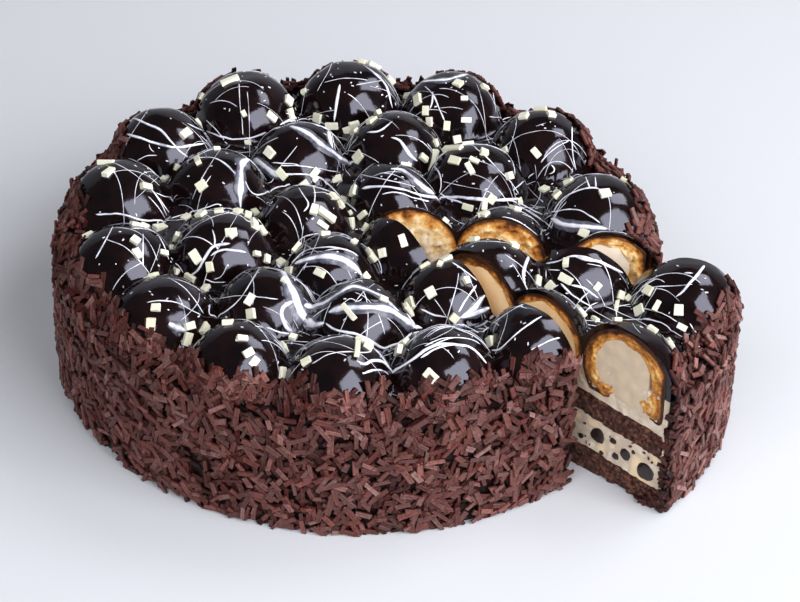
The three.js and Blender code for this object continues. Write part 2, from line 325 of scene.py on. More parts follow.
def start_material(name, roughness, ior=1.5):
    """A new material, its node tree, its Principled shader and the Object coordinates."""
    material = bpy.data.materials.new(name)
    material.use_nodes = True
    tree = material.node_tree
    shader = tree.nodes["Principled BSDF"]
    shader.inputs["Roughness"].default_value = roughness
    shader.inputs["IOR"].default_value = ior
    place = tree.nodes.new("ShaderNodeTexCoord").outputs["Object"]
    return material, tree, shader, place


print("middle grey of a screen in linear light:", colour(128, 128, 128)[0].round(3))

# %% Nodes of a material
def add_noise(tree, place, size, detail=3.0):
    """Noise that changes over about the given size in millimetres."""
    node = tree.nodes.new("ShaderNodeTexNoise")
    node.inputs["Scale"].default_value = 1 / (size * MM)
    node.inputs["Detail"].default_value = detail
    tree.links.new(place, node.inputs["Vector"])
    return node.outputs["Fac"]


def add_ramp(tree, value, stops):
    """Colours at places along a value from 0 to 1."""
    node = tree.nodes.new("ShaderNodeValToRGB")
    elements = node.color_ramp.elements
    while len(elements) < len(stops):
        elements.new(0.5)
    for element, (at, shade) in zip(elements, stops):
        element.position = at
        element.color = shade
    tree.links.new(value, node.inputs["Fac"])
    return node.outputs["Color"]


def add_math(tree, operation, first, second):
    """A sum, difference or product of two values, each a number or another node's output."""
    node = tree.nodes.new("ShaderNodeMath")
    node.operation = operation
    for socket, value in zip(node.inputs, (first, second)):
        if isinstance(value, (int, float)):
            socket.default_value = value
        else:
            tree.links.new(value, socket)
    return node.outputs["Value"]


def add_value(tree, name):
    """A value that the mesh carries on its points."""
    node = tree.nodes.new("ShaderNodeAttribute")
    node.attribute_name = name
    return node.outputs["Fac"]


print("noise over 2 mm has a scale of", 1 / (2 * MM))

# %% Colour and relief of a material
# Places of a Mix node's sockets for colours, behind those for numbers and vectors
MIX_SHARE, MIX_FIRST, MIX_SECOND, MIX_RESULT = 0, 6, 7, 2


def add_mottled(tree, place, name, size, amount, detail=3.0):
    """A value that the mesh carries, plus noise from 0 to an amount."""
    mottle = add_math(tree, "MULTIPLY", add_noise(tree, place, size, detail), amount)
    return add_math(tree, "ADD", add_value(tree, name), mottle)


def add_colour(tree, shader, value, stops):
    """Base colour of the shader: screen colours at places along a value."""
    tree.links.new(add_ramp(tree, value, screen(stops)), shader.inputs["Base Color"])


def add_blend(tree, share, first, second):
    """One colour turning into another as a value goes from 0 to 1."""
    node = tree.nodes.new("ShaderNodeMix")
    node.data_type = "RGBA"
    for socket, value in ((MIX_SHARE, share), (MIX_FIRST, first), (MIX_SECOND, second)):
        tree.links.new(value, node.inputs[socket])
    return node.outputs[MIX_RESULT]


def add_bump(tree, shader, place, size, depth, strength, detail=3.0):
    """Fine relief: noise of the given size and depth in millimetres."""
    node = tree.nodes.new("ShaderNodeBump")
    node.inputs["Distance"].default_value = depth * MM
    node.inputs["Strength"].default_value = strength
    tree.links.new(add_noise(tree, place, size, detail), node.inputs["Height"])
    tree.links.new(node.outputs["Normal"], shader.inputs["Normal"])


print("colour sockets of a Mix node:", MIX_FIRST, "and", MIX_SECOND)

# %% [markdown]
# ## Finishes of the top
# Poured glaze is almost black and mirrors the room, with duller patches where it has set. Drizzle is white
# where it lies thick and darker where the glaze shows through. A transparent shader could show that, but it
# needs many light paths, so a tone on the mesh chooses the colour instead. Chopped white chocolate is ivory,
# waxy and a little scratched.

# %% Glaze, drizzle and blocks
def glaze_finish():
    """Poured dark chocolate: almost black, wet looking, a little duller in patches."""
    material, tree, shader, place = start_material("dark_glaze", roughness=0.1, ior=1.55)
    shader.inputs["Specular Tint"].default_value = (0.84, 0.84, 1.0, 1.0)
    add_colour(tree, shader, add_noise(tree, place, size=9.0), [(0.35, (9, 4, 4)), (0.8, (27, 13, 12))])
    dull = add_ramp(tree, add_noise(tree, place, size=5.0), [(0.35, grey(0.08)), (0.8, grey(0.17))])
    tree.links.new(dull, shader.inputs["Roughness"])
    add_bump(tree, shader, place, size=2.5, depth=0.08, strength=0.7)
    return material


def drizzle_finish():
    """White chocolate threads: white where thick, greyer and darker where the glaze shows through."""
    material, tree, shader, place = start_material("white_drizzle", roughness=0.25)
    level = add_math(tree, "SUBTRACT", add_noise(tree, place, size=1.8), 0.5)
    streaks = add_math(tree, "MULTIPLY", level, 0.5)
    tone = add_math(tree, "ADD", add_value(tree, "tone"), streaks)
    add_colour(tree, shader, tone, [
        (0.08, (14, 10, 11)), (0.4, (96, 96, 108)), (0.7, (188, 189, 200)), (0.95, (232, 232, 238)),
    ])
    add_bump(tree, shader, place, size=0.7, depth=0.04, strength=0.5)
    return material


def ivory_finish():
    """Chopped white chocolate: pale ivory, waxy, with faint scratches."""
    material, tree, shader, place = start_material("ivory_chocolate", roughness=0.5)
    tone = add_mottled(tree, place, "tone", size=1.2, amount=0.35)
    add_colour(tree, shader, tone, [(0.1, (198, 194, 168)), (1.0, (232, 230, 210))])
    add_bump(tree, shader, place, size=0.4, depth=0.06, strength=0.6)
    return material


GLAZE = glaze_finish()
DRIZZLE = drizzle_finish()
IVORY = ivory_finish()
print("finishes:", GLAZE.name, DRIZZLE.name, IVORY.name)

# %% [markdown]
# ## Finishes of the coat and the sponge
# No two flakes of the coat have the same brown: some are dusty and grey, others reddish. Each could have a
# material of its own, but a tone and a redness on the points of one mesh do it with a single material. Sponge
# is matt and full of pores, and the balls in the cream are dark, with a dull shine.

# %% Flakes, sponge and balls
def flake_finish():
    """Chocolate flakes: each has its own tone, from grey-brown with a dusty bloom to a redder brown."""
    material, tree, shader, place = start_material("chocolate_flakes", roughness=0.48)
    shader.inputs["Specular IOR Level"].default_value = 0.15
    tone = add_mottled(tree, place, "tone", size=1.3, amount=0.4)
    dusty = add_ramp(tree, tone, screen([
        (0.1, (16, 6, 6)), (0.45, (61, 37, 34)), (0.75, (93, 65, 61)), (1.0, (136, 107, 103)),
    ]))
    reddish = add_ramp(tree, tone, screen([
        (0.1, (20, 4, 2)), (0.45, (70, 28, 23)), (0.75, (102, 52, 45)), (1.0, (139, 87, 79)),
    ]))
    shade = add_blend(tree, add_value(tree, "redness"), dusty, reddish)
    tree.links.new(shade, shader.inputs["Base Color"])
    add_bump(tree, shader, place, size=0.45, depth=0.12, strength=0.7)
    return material


def sponge_finish():
    """Chocolate sponge: dark crumb with still darker pores."""
    material, tree, shader, place = start_material("chocolate_sponge", roughness=0.9)
    pores = add_noise(tree, place, size=1.5, detail=6.0)
    add_colour(tree, shader, pores, [(0.32, (30, 15, 11)), (0.5, (70, 40, 31)), (0.7, (116, 76, 62))])
    add_bump(tree, shader, place, size=0.8, depth=0.6, strength=1.0, detail=5.0)
    return material


def ball_finish():
    """Dark chocolate balls in the lower cream."""
    material, tree, shader, place = start_material("chocolate_balls", roughness=0.4)
    add_colour(tree, shader, add_noise(tree, place, size=1.5), [(0.3, (20, 12, 11)), (0.75, (48, 32, 29))])
    add_bump(tree, shader, place, size=0.8, depth=0.15, strength=0.7)
    return material


FLAKE = flake_finish()
SPONGE = sponge_finish()
BALL = ball_finish()
print("finishes:", FLAKE.name, SPONGE.name, BALL.name)

# %% [markdown]
# ## Finishes of choux and cream
# Choux is pale inside, golden towards its crust and brown at its edge. Three materials side by side would
# show seams, so one ramp runs through all the colours, led by a value of how toasted each point is, which
# also holds painted shade in its pores and holes. Cream is matt and beige, and a value makes it warmer in
# some places, partly its own tint and partly painted light.

# %% Choux and cream
def choux_finish():
    """Baked choux: cream-coloured crumb, golden towards the crust and brown at its toasted edge."""
    material, tree, shader, place = start_material("choux", roughness=0.75)
    toast_and_shade = add_mottled(tree, place, "toast_and_shade", size=1.0, amount=0.5, detail=6.0)
    add_colour(tree, shader, add_math(tree, "SUBTRACT", toast_and_shade, 0.25), [
        (0.0, (244, 232, 208)), (0.2, (234, 204, 150)), (0.4, (208, 153, 78)),
        (0.6, (170, 106, 42)), (0.8, (108, 61, 24)), (1.0, (54, 28, 14)),
    ])
    add_bump(tree, shader, place, size=0.8, depth=0.2, strength=0.8, detail=4.0)
    return material


def cream_finish():
    """Whipped filling: warm beige, matt, with the faint drag of the knife; warmer where the value says so,
    which is partly its own tint and partly painted light.
    """
    material, tree, shader, place = start_material("cream", roughness=0.55)
    tone = add_mottled(tree, place, "warmth_and_painted_light", size=4.0, amount=0.25)
    add_colour(tree, shader, tone, [
        (0.0, (248, 235, 216)), (0.16, (192, 174, 153)), (0.6, (254, 224, 176)), (1.0, (240, 194, 132)),
    ])
    add_bump(tree, shader, place, size=1.4, depth=0.12, strength=0.6, detail=4.0)
    return material


CHOUX = choux_finish()
CREAM = cream_finish()
print("finishes:", CHOUX.name, CREAM.name)

# %% [markdown]
# ## Camera
# The view is a long lens that looks about 36 degrees down. It could be placed by eye, but threads and blocks
# are put down by their pixels later, so it was fitted to the outline of the cake's foot and to its domes. The
# camera's axes are built from yaw, pitch and roll, and the same axes later turn a pixel into a line of sight.

# %% Camera
IMAGE_SIZE = (800, 602)
FOCAL_PIXELS = 2800.0
SENSOR_WIDTH = 36.0
CAMERA_DISTANCE = 1129.1
CAMERA_RISE, CAMERA_YAW = math.radians(36.75), math.radians(1.11)
CAMERA_PITCH, CAMERA_ROLL = math.radians(35.86), math.radians(2.15)

EYE = CAMERA_DISTANCE * np.array([0.0, -math.cos(CAMERA_RISE), math.sin(CAMERA_RISE)])
FORWARD = np.array([
    math.sin(CAMERA_YAW) * math.cos(CAMERA_PITCH),
    math.cos(CAMERA_YAW) * math.cos(CAMERA_PITCH),
    -math.sin(CAMERA_PITCH),
])
level_right = np.array([math.cos(CAMERA_YAW), -math.sin(CAMERA_YAW), 0.0])
level_up = np.cross(level_right, FORWARD)
RIGHT = math.cos(CAMERA_ROLL) * level_right + math.sin(CAMERA_ROLL) * level_up
UP = math.cos(CAMERA_ROLL) * level_up - math.sin(CAMERA_ROLL) * level_right

camera = bpy.data.objects.new("camera", bpy.data.cameras.new("camera"))
camera.data.sensor_width = SENSOR_WIDTH
camera.data.lens = FOCAL_PIXELS * SENSOR_WIDTH / IMAGE_SIZE[0]
turned_axes = Matrix(np.stack([RIGHT, UP, -FORWARD], axis=1).tolist()).to_4x4()
camera.matrix_world = Matrix.Translation(Vector((EYE + CAKE_AXIS) * MM)) @ turned_axes
bpy.context.collection.objects.link(camera)
bpy.context.scene.camera = camera
print("camera lens:", camera.data.lens, "mm")

# %% [markdown]
# ## Light and floor
# Wet glaze shows its surroundings, so the lights are as much a part of the look as the material. A picture of
# a room could light the cake, but a few softboxes are easier to steer. A large one stands front right and a
# smaller one high at the back right. Two fill lights brighten the coat, and the glaze doesn't mirror them. A
# pale sweep, floor and back wall in one curve, throws light back on the sides and gives the far domes their
# grey edge.

# %% Lights
LIGHT_COLOUR = (0.95, 0.96, 1.0)
ROOM_COLOUR, ROOM_STRENGTH = (0.92, 0.96, 1.0, 1.0), 0.08


def softbox(name, direction, distance, size, power, mirrored=True):
    """A square area light at a distance along a direction from the cake, facing it.

    A fill light isn't mirrored: it brightens matt faces and leaves no patch on the glaze.
    """
    towards = Vector(direction).normalized()
    lamp = bpy.data.objects.new(name, bpy.data.lights.new(name, "AREA"))
    lamp.data.size = size
    lamp.data.energy = power
    lamp.data.color = LIGHT_COLOUR
    lamp.visible_glossy = mirrored
    lamp.location = Vector(CAKE_AXIS * MM) + towards * distance
    lamp.rotation_euler = towards.to_track_quat("Z", "Y").to_euler()
    bpy.context.collection.objects.link(lamp)


softbox("key_light", (0.587, -0.554, 0.589), distance=1.8, size=1.45, power=46.0)
softbox("back_light", (0.55, 0.28, 0.79), distance=1.2, size=0.5, power=5.0)
softbox("left_fill", (-0.3, -0.7, 0.65), distance=1.8, size=1.2, power=22.0, mirrored=False)
softbox("right_fill", (0.93, -0.08, 0.36), distance=1.8, size=1.2, power=22.0, mirrored=False)

world = bpy.data.worlds.new("studio")
world.use_nodes = True
world.node_tree.nodes["Background"].inputs["Color"].default_value = ROOM_COLOUR
world.node_tree.nodes["Background"].inputs["Strength"].default_value = ROOM_STRENGTH
bpy.context.scene.world = world
bpy.context.scene.view_settings.view_transform = "Standard"
print("lights:", len(bpy.data.lights))

# %% Floor
FLOOR_COLOUR = (0.53, 0.537, 0.56, 1.0)
FLOOR_DROP, FLOOR_HALF_WIDTH = 0.0002, 3.5


def sweep_profile(near, far, bend, top, steps):
    """Floor line, quarter circle and wall line in (y, z)."""
    angle = np.linspace(0, math.pi / 2, steps)
    y = np.concatenate([[near], far + bend * np.sin(angle), [far + bend]])
    z = np.concatenate([[0.0], bend * (1 - np.cos(angle)), [top]])
    return y, z


sweep_y, sweep_z = sweep_profile(near=-3.0, far=1.5, bend=0.5, top=1.6, steps=14)
sides = (-FLOOR_HALF_WIDTH, FLOOR_HALF_WIDTH)
sweep_points = [(x, y, z - FLOOR_DROP) for x in sides for y, z in zip(sweep_y, sweep_z)]
across = len(sweep_y)
sweep_faces = [(i, i + across, i + across + 1, i + 1) for i in range(across - 1)]
sweep_mesh = bpy.data.meshes.new("floor")
sweep_mesh.from_pydata(sweep_points, [], sweep_faces)
sweep_mesh.polygons.foreach_set("use_smooth", [True] * len(sweep_faces))
floor = bpy.data.objects.new("floor", sweep_mesh)
bpy.context.collection.objects.link(floor)
paint, _, paint_shader, _ = start_material("pale_floor", roughness=0.6)
paint_shader.inputs["Base Color"].default_value = FLOOR_COLOUR
sweep_mesh.materials.append(paint)
print("floor:", len(sweep_faces), "faces")

# %% [markdown]
# ## Glaze
# Dark chocolate was poured over the profiteroles: it lies on the domes as a skin and stands between them as a
# pool. It could be made from spheres with a remesh, but a height for every place in plan is simpler and keeps
# the two cuts sharp. A soft maximum of all domes and the pool rounds the creases as a liquid does.

# %% Height of the glaze
POOL_TOP, POOL_SHOULDER, POOL_EDGE, POOL_FOOT = 55.0, 98.0, 52.2, 51.3
CREASE = 2.2
WARP, WARP_SIZE = 1.3, 14.0
RIPPLES = ((0.7, 9.0), (0.24, 4.5))
SLOPE_STEP = 0.3


def plan_points(x, y):
    """Points on the ground at places in plan."""
    return np.stack([x, y, np.zeros_like(x)], axis=-1)


def dome_heights(x, y, skin, in_slice):
    """Height of each dome over each place, less a skin: CHOUX_MIDDLE + sqrt(R^2 - d^2), or 0 beside it."""
    middle_x, middle_y, radius = np.array(list(DOMES[in_slice].values())).T
    rise = (radius - skin) ** 2 - (x[..., None] - middle_x) ** 2 - (y[..., None] - middle_y) ** 2
    return np.where(rise > 0, CHOUX_MIDDLE + np.sqrt(np.maximum(rise, 0)), 0)


def pool_height(x, y):
    """Level of the pool between the domes: flat inside its shoulder, sloping to the rim outside it."""
    return np.interp(np.hypot(x, y), (POOL_SHOULDER, LAYER_RADIUS), (POOL_TOP, POOL_EDGE))


def glaze_height(x, y, in_slice):
    """Soft maximum of the pool and all domes, log(sum(exp(k z))) / k, on a slightly warped plan."""
    plan = plan_points(x, y)
    warped_x = x + WARP * noise(plan, WARP_SIZE)
    warped_y = y + WARP * noise(plan + 200, WARP_SIZE)
    heights = dome_heights(warped_x, warped_y, 0.0, in_slice)
    pool = pool_height(x, y)
    top = np.maximum(heights.max(axis=-1), pool)
    total = np.exp((heights - top[..., None]) / CREASE).sum(axis=-1) + np.exp((pool - top) / CREASE)
    return top + CREASE * np.log(total) + sum(depth * noise(plan, size) for depth, size in RIPPLES)


def glaze_normal(x, y, in_slice):
    """Unit normal of the glaze from central differences of its height."""
    slope_x = glaze_height(x + SLOPE_STEP, y, in_slice) - glaze_height(x - SLOPE_STEP, y, in_slice)
    slope_y = glaze_height(x, y + SLOPE_STEP, in_slice) - glaze_height(x, y - SLOPE_STEP, in_slice)
    normal = np.stack([-slope_x, -slope_y, np.full_like(x, 2 * SLOPE_STEP)], axis=-1)
    return normal / np.linalg.norm(normal, axis=-1, keepdims=True)


print("glaze over the axis:", glaze_height(np.zeros(1), np.zeros(1), False).round(1), "mm")

# %% Glaze as two sheets with walls
GLAZE_SKIN, THINNEST, RIM_SKIN = 1.2, 0.6, 1.9
GLAZE_GRIDS = {False: (450, 94), True: (110, 130)}
SHARP_CUT = 62.0


def glaze_part(in_slice):
    """A polar grid of (angle, radius): the upper sheet at the glaze's height, the under sheet on the choux.

    Point 0 lies on the axis. Walls join the sheets along the first angle, the rim and the last angle.
    """
    columns, rows = GLAZE_GRIDS[in_slice]
    angle = np.radians(np.linspace(*SPANS[in_slice], columns))
    distance = np.linspace(0, LAYER_RADIUS, rows + 1)[1:, None]
    x = np.concatenate([[0.0], (distance * np.cos(angle)).ravel()])
    y = np.concatenate([[0.0], (distance * np.sin(angle)).ravel()])
    top = glaze_height(x, y, in_slice)
    choux_top = dome_heights(x, y, GLAZE_SKIN, in_slice).max(axis=-1)
    choux_top = np.where(np.hypot(x, y) < LAYER_RADIUS - RIM_SKIN, choux_top, 0)
    under = np.minimum(np.maximum(choux_top, POOL_FOOT), top - THINNEST)
    points = np.concatenate([np.stack([x, y, top], axis=-1), np.stack([x, y, under], axis=-1)])
    count = len(x)
    grid = 1 + np.arange(rows * columns).reshape(rows, columns)
    quads = np.stack([grid[:-1, :-1], grid[1:, :-1], grid[1:, 1:], grid[:-1, 1:]], axis=-1).reshape(-1, 4)
    fan = np.stack([np.zeros(columns - 1, int), grid[0, :-1], grid[0, 1:]], axis=-1)
    first = np.concatenate([[0], grid[:, 0]])
    last = np.concatenate([[0], grid[:, -1]])[::-1]
    walls = []
    for line in (first, grid[-1], last):
        walls.append(np.stack([line[:-1], line[:-1] + count, line[1:] + count, line[1:]], axis=-1))
    blocks = [quads, quads[:, ::-1] + count, fan, fan[:, ::-1] + count, np.concatenate(walls)]
    return points, blocks, {}


for node, in_slice in (("glaze", False), ("slice_glaze", True)):
    add_piece(f"{node}_skin", [glaze_part(in_slice)], GLAZE, [node], in_slice, SHARP_CUT)

# %% [markdown]
# ## Layers
# Sponge and cream show on the four cut faces. A cylinder with a boolean cut would give the shape but not the
# crumb. So each layer is a band: its outline in plan, out along one cut, round the rim and back along the
# other, repeated at many heights. On the cuts the band is pushed in and out by noise, deep and coarse for
# sponge crumb, shallow for cream. Flat caps close it.

# %% Outline and edges of a layer
CUT_STEPS, RIM_STEP = 180, 2.5
CUT_FADE = 2.0
EDGE_WAVES = ((0.35, 6.0), (0.45, 1.4))
SAG, SAG_MIDDLE, SAG_REACH = 0.055, 92.0, 23.0


def layer_outline(span):
    """Plan of a sector: points, outward directions and how much of the relief each takes."""
    along = np.linspace(0, LAYER_RADIUS, CUT_STEPS)
    rim = np.radians(np.linspace(*span, int((span[1] - span[0]) / RIM_STEP))[1:-1])
    first, last = np.radians(span)
    plan = np.concatenate([
        along[:, None] * [math.cos(first), math.sin(first)],
        LAYER_RADIUS * np.stack([np.cos(rim), np.sin(rim)], axis=-1),
        along[:0:-1, None] * [math.cos(last), math.sin(last)],
    ])
    outward = np.concatenate([
        np.tile([math.sin(first), -math.cos(first)], (CUT_STEPS, 1)),
        np.stack([np.cos(rim), np.sin(rim)], axis=-1),
        np.tile([-math.sin(last), math.cos(last)], (CUT_STEPS - 1, 1)),
    ])
    share = ease(along, 0, CUT_FADE) * ease(-along, -LAYER_RADIUS, -LAYER_RADIUS + CUT_FADE)
    return plan, outward, np.concatenate([share, np.zeros(len(rim)), share[:0:-1]])


def edge_wave(plan, share, level):
    """Unevenness of the line between two layers, sinking towards the rim; none at the foot and at the top."""
    if level in (0.0, LAYERS["upper_cream"][1]):
        return np.zeros(len(plan))
    spots = np.column_stack([plan, np.full(len(plan), 3 * level)])
    sinking = -SAG * np.clip(np.hypot(*plan.T) - SAG_MIDDLE, -SAG_REACH, SAG_REACH)
    return share * (sinking + sum(depth * noise(spots, size) for depth, size in EDGE_WAVES))


print("outline of a layer:", len(layer_outline(CAKE_SPAN)[0]), "points on the cake")

# %% Layers of sponge and cream
RELIEF = {"sponge": (0.45, 1.6), "cream": (0.2, 3.2)}
RECESS = {"sponge": 0.0, "cream": 0.15}
PIT_DEPTH, PIT_SIZE, PIT_RANGE = {"sponge": 1.1, "cream": 0.25}, 2.2, (0.2, 0.7)
MOTTLE_SIZE, MOTTLE_RANGE = 5.0, (-0.2, 0.7)
PLAIN_WARMTH, MOTTLED = 0.05, {"lower_cream": 0.3}
BAND_STEP = 0.5


def layer_part(layer, span):
    """A band of the outline at heights from foot to top, with relief on the cuts and flat caps.

    The edges' waves fade into the band with the cube of the distance from the other edge.
    """
    kind = "sponge" if "sponge" in layer else "cream"
    depth, size = RELIEF[kind]
    foot, top = LAYERS[layer]
    plan, outward, share = layer_outline(span)
    heights = np.linspace(foot, top, int((top - foot) / BAND_STEP) + 1)[:, None]
    x = np.broadcast_to(plan[:, 0], (len(heights), len(plan)))
    y = np.broadcast_to(plan[:, 1], x.shape)
    points = np.stack([x, y, np.broadcast_to(heights, x.shape)], axis=-1)
    pits = ease(noise(points + 300, PIT_SIZE), *PIT_RANGE)
    relief = depth * (noise(points, size) + 0.5 * noise(points, size / 2))
    relief = relief - PIT_DEPTH[kind] * pits - RECESS[kind]
    mottle = ease(noise(points + 500, MOTTLE_SIZE), *MOTTLE_RANGE)
    points = points + (share * relief)[..., None] * np.append(outward, np.zeros((len(plan), 1)), axis=1)
    climb = (heights - foot) / (top - foot)
    upper_wave, lower_wave = edge_wave(plan, share, top), edge_wave(plan, share, foot)
    points[..., 2] += climb ** 3 * upper_wave + (1 - climb) ** 3 * lower_wave
    warmth_and_painted_light = MOTTLED.get(layer, PLAIN_WARMTH) * mottle
    return points.reshape(-1, 3), tube_blocks(*x.shape), {"warmth_and_painted_light": warmth_and_painted_light.ravel()}


for layer in LAYERS:
    material, slot = (SPONGE, "chocolate_sponge") if "sponge" in layer else (CREAM, "cream")
    for node, in_slice in ((layer, False), (f"slice_{layer}", True)):
        band = layer_part(layer, SPANS[in_slice])
        add_piece(f"{node}_crumb", [band], material, [node], in_slice, SHARP_CUT)

# %% [markdown]
# ## Cut profiteroles
# The two cuts run through five profiteroles and bare their choux and cream. Spheres cut by booleans would do
# from afar, but not for crumb that is seen from close by. A cut shell is one closed surface here: from the
# back of the bun over its crust to the cut, across the cut to the cream, and into the hollow. Its face is
# rough with pores, and a value from crumb to crust tells the finish how brown it is, with painted shade
# browning its deeper pores and holes. The cream is a plug that fills the hollow.

# %% Places on a cut
MATERIAL_AHEAD, MATERIAL_BEHIND = 1, -1


def cut_normal(azimuth, side):
    """Level direction out of a cut face."""
    turn = math.radians(azimuth)
    return side * np.array([math.sin(turn), -math.cos(turn), 0.0])


def on_cut(azimuth, side, along, height, depth):
    """Points from the distance along a cut, the height and the depth into the material behind it."""
    turn = math.radians(azimuth)
    forward = np.array([math.cos(turn), math.sin(turn), 0.0])
    lifted = np.stack([np.zeros_like(height), np.zeros_like(height), height], axis=-1)
    return along[..., None] * forward - depth[..., None] * cut_normal(azimuth, side) + lifted


def cut_place(x, y, azimuth, side):
    """How far along a cut a bun's middle lies, and how deep behind it."""
    turn = math.radians(azimuth)
    along = x * math.cos(turn) + y * math.sin(turn)
    depth = side * (y * math.cos(turn) - x * math.sin(turn))
    return along, depth


def held_in(points, reach):
    """Points no farther from the axis than a reach: those beyond it are moved straight in."""
    distance = np.hypot(points[:, 0], points[:, 1])
    share = np.minimum(1, reach / np.maximum(distance, 1))
    return points * np.column_stack([share, share, np.ones(len(points))])


print("cuts at", LEFT_CUT, "and", RIGHT_CUT, "degrees")

# %% Rings round a cut face
CUT_COLUMNS = 132
ROUND_FACE = np.linspace(0, 2 * math.pi, CUT_COLUMNS, endpoint=False)
ROUND_ALONG, ROUND_UP = np.cos(ROUND_FACE), np.sin(ROUND_FACE)


def ball_rows(along, height, middle_depth, radius, count, stretch):
    """Rings of a ball behind the cut, from its back pole's first ring to the cut.

    A ring at angle t from the pole has radius R sin t, times a stretch round the face, and depth d + R cos t.
    """
    angles = np.linspace(0, math.acos(np.clip(-middle_depth / radius, -1, 1)), count + 1)[1:, None]
    reach = radius * np.sin(angles) * stretch * np.ones(CUT_COLUMNS)
    depth = np.broadcast_to(middle_depth + radius * np.cos(angles), reach.shape)
    return along + reach * ROUND_ALONG, height + reach * ROUND_UP, depth


def closed_rings(rows_along, rows_height, rows_depth, start, end):
    """Grid of closed rings with a pole at either end: points as (along, height, depth) and faces."""
    rings = np.stack([rows_along, rows_height, rows_depth], axis=-1)
    rows, columns = rings.shape[:2]
    points = np.concatenate([[start], rings.reshape(-1, 3), [end]])
    numbers = 1 + np.arange(rows * columns).reshape(rows, columns)
    after = np.roll(numbers, -1, axis=1)
    first = np.stack([np.zeros(columns, int), after[0], numbers[0]], axis=-1)
    last = np.stack([np.full(columns, len(points) - 1), numbers[-1], after[-1]], axis=-1)
    return points, [ring_quads(numbers), first, last]


def face_bulge(centre, width):
    """A bump round the face: 1 at an angle, 0 beyond its half width, in degrees."""
    apart = (np.degrees(ROUND_FACE) - centre + 180) % 360 - 180
    return 1 - ease(np.abs(apart), 0, width)


print("columns round a cut face:", CUT_COLUMNS)

# %% Outline of a cut bun
CHOUX_GAP = 0.1
CHOUX_REACH = LAYER_RADIUS - 2.4
CREAM_DROP, EDGE_CLEAR = 2.0, 0.4
WOBBLE, WOBBLE_ROUND, WOBBLE_SIZE = 0.09, 3.0, 1.1
LEAST_SQUARE = 0.01


def cut_bun(dome, azimuth, side, look, in_slice):
    """A bun behind a cut: its two balls, bun and hollow, and their lines on the cut, the crust and the edge.

    A ball of radius R whose middle lies d behind the cut meets it in a circle of radius sqrt(R^2 - d^2).
    """
    x, y, radius = DOMES[in_slice][dome]
    bun = SimpleNamespace(azimuth=azimuth, side=side, look=look)
    bun.radius = radius - GLAZE_SKIN - CHOUX_GAP
    bun.along, bun.depth = cut_place(x, y, azimuth, side)
    reach = math.sqrt(bun.radius ** 2 - bun.depth ** 2)
    bun.crust_along = np.minimum(bun.along + reach * ROUND_ALONG, CHOUX_REACH)
    bun.crust_height = np.maximum(CHOUX_MIDDLE + reach * ROUND_UP, CHOUX_FOOT)
    shift_along, shift_height = look.get("shift", (0.0, -CREAM_DROP))
    bun.hollow_along = bun.along + shift_along
    bun.hollow_height = CHOUX_MIDDLE + shift_height
    bun.hollow_radius = bun.radius - look["wall"]
    hollow_reach = math.sqrt(max(bun.hollow_radius ** 2 - bun.depth ** 2, LEAST_SQUARE))
    round_spots = [WOBBLE_ROUND * ROUND_ALONG, WOBBLE_ROUND * ROUND_UP, np.full(CUT_COLUMNS, bun.along)]
    wobble = 1 + WOBBLE * noise(np.stack(round_spots, axis=-1), WOBBLE_SIZE)
    bun.stretch = wobble * look.get("curl", np.ones(CUT_COLUMNS))
    bun.opening = look.get("opening", np.zeros(CUT_COLUMNS))
    bun.edge_along = bun.hollow_along + hollow_reach * bun.stretch * ROUND_ALONG
    edge_height = bun.hollow_height + hollow_reach * bun.stretch * ROUND_UP
    bun.edge_height = np.maximum(edge_height, CHOUX_FOOT + EDGE_CLEAR)
    return bun


def kept_apart(points, look):
    """Points as (along, height, depth), kept to this side of the middle if the other cut has the same bun."""
    if look.get("shared"):
        half = math.tan(math.radians(RIGHT_CUT - LEFT_CUT) / 2)
        points[:, 2] = np.minimum(points[:, 2], half * points[:, 0] - CHOUX_GAP)
    return points


print("choux ends", round(LAYER_RADIUS - CHOUX_REACH, 1), "mm inside the rim")

# %% Crumb on a cut
# Sizes and depths are in millimetres, and tints add up to how toasted a point is; the hole, pore and fibre
# tints are painted shade where the crumb lies deeper
FACE_RINGS = 18
CRUMB_RELIEF, FACE_PROUD, OPEN_DEPTH = 0.5, 0.3, 1.6
CRUST_FADE, CREAM_FADE = 0.06, 0.12
PORE_SIZE, FINE_PORE, FINE_PORE_SIZE = 2.4, 0.7, 1.1
FIBRE_ROUND, FIBRE_SIZE = 6.0, 0.9
HOLE_SIZE, HOLE_RANGE, HOLE_DEPTH = 1.3, (0.4, 0.75), 0.6
PATCH_SIZE, FINE_PATCH, FINE_PATCH_SIZE = 4.5, 0.6, 1.7
PATCH_RANGE, PATCH_REACH = (-0.2, 0.9), (2.0, 11.0)
GOLDEN_TINT, CRUST_TINT = 0.24, 0.5
HOLE_SHADE, PORE_SHADE, FIBRE_SHADE = 0.16, 0.13, 0.16
USUAL_CRUST, USUAL_PATCHES = 1.7, 0.2


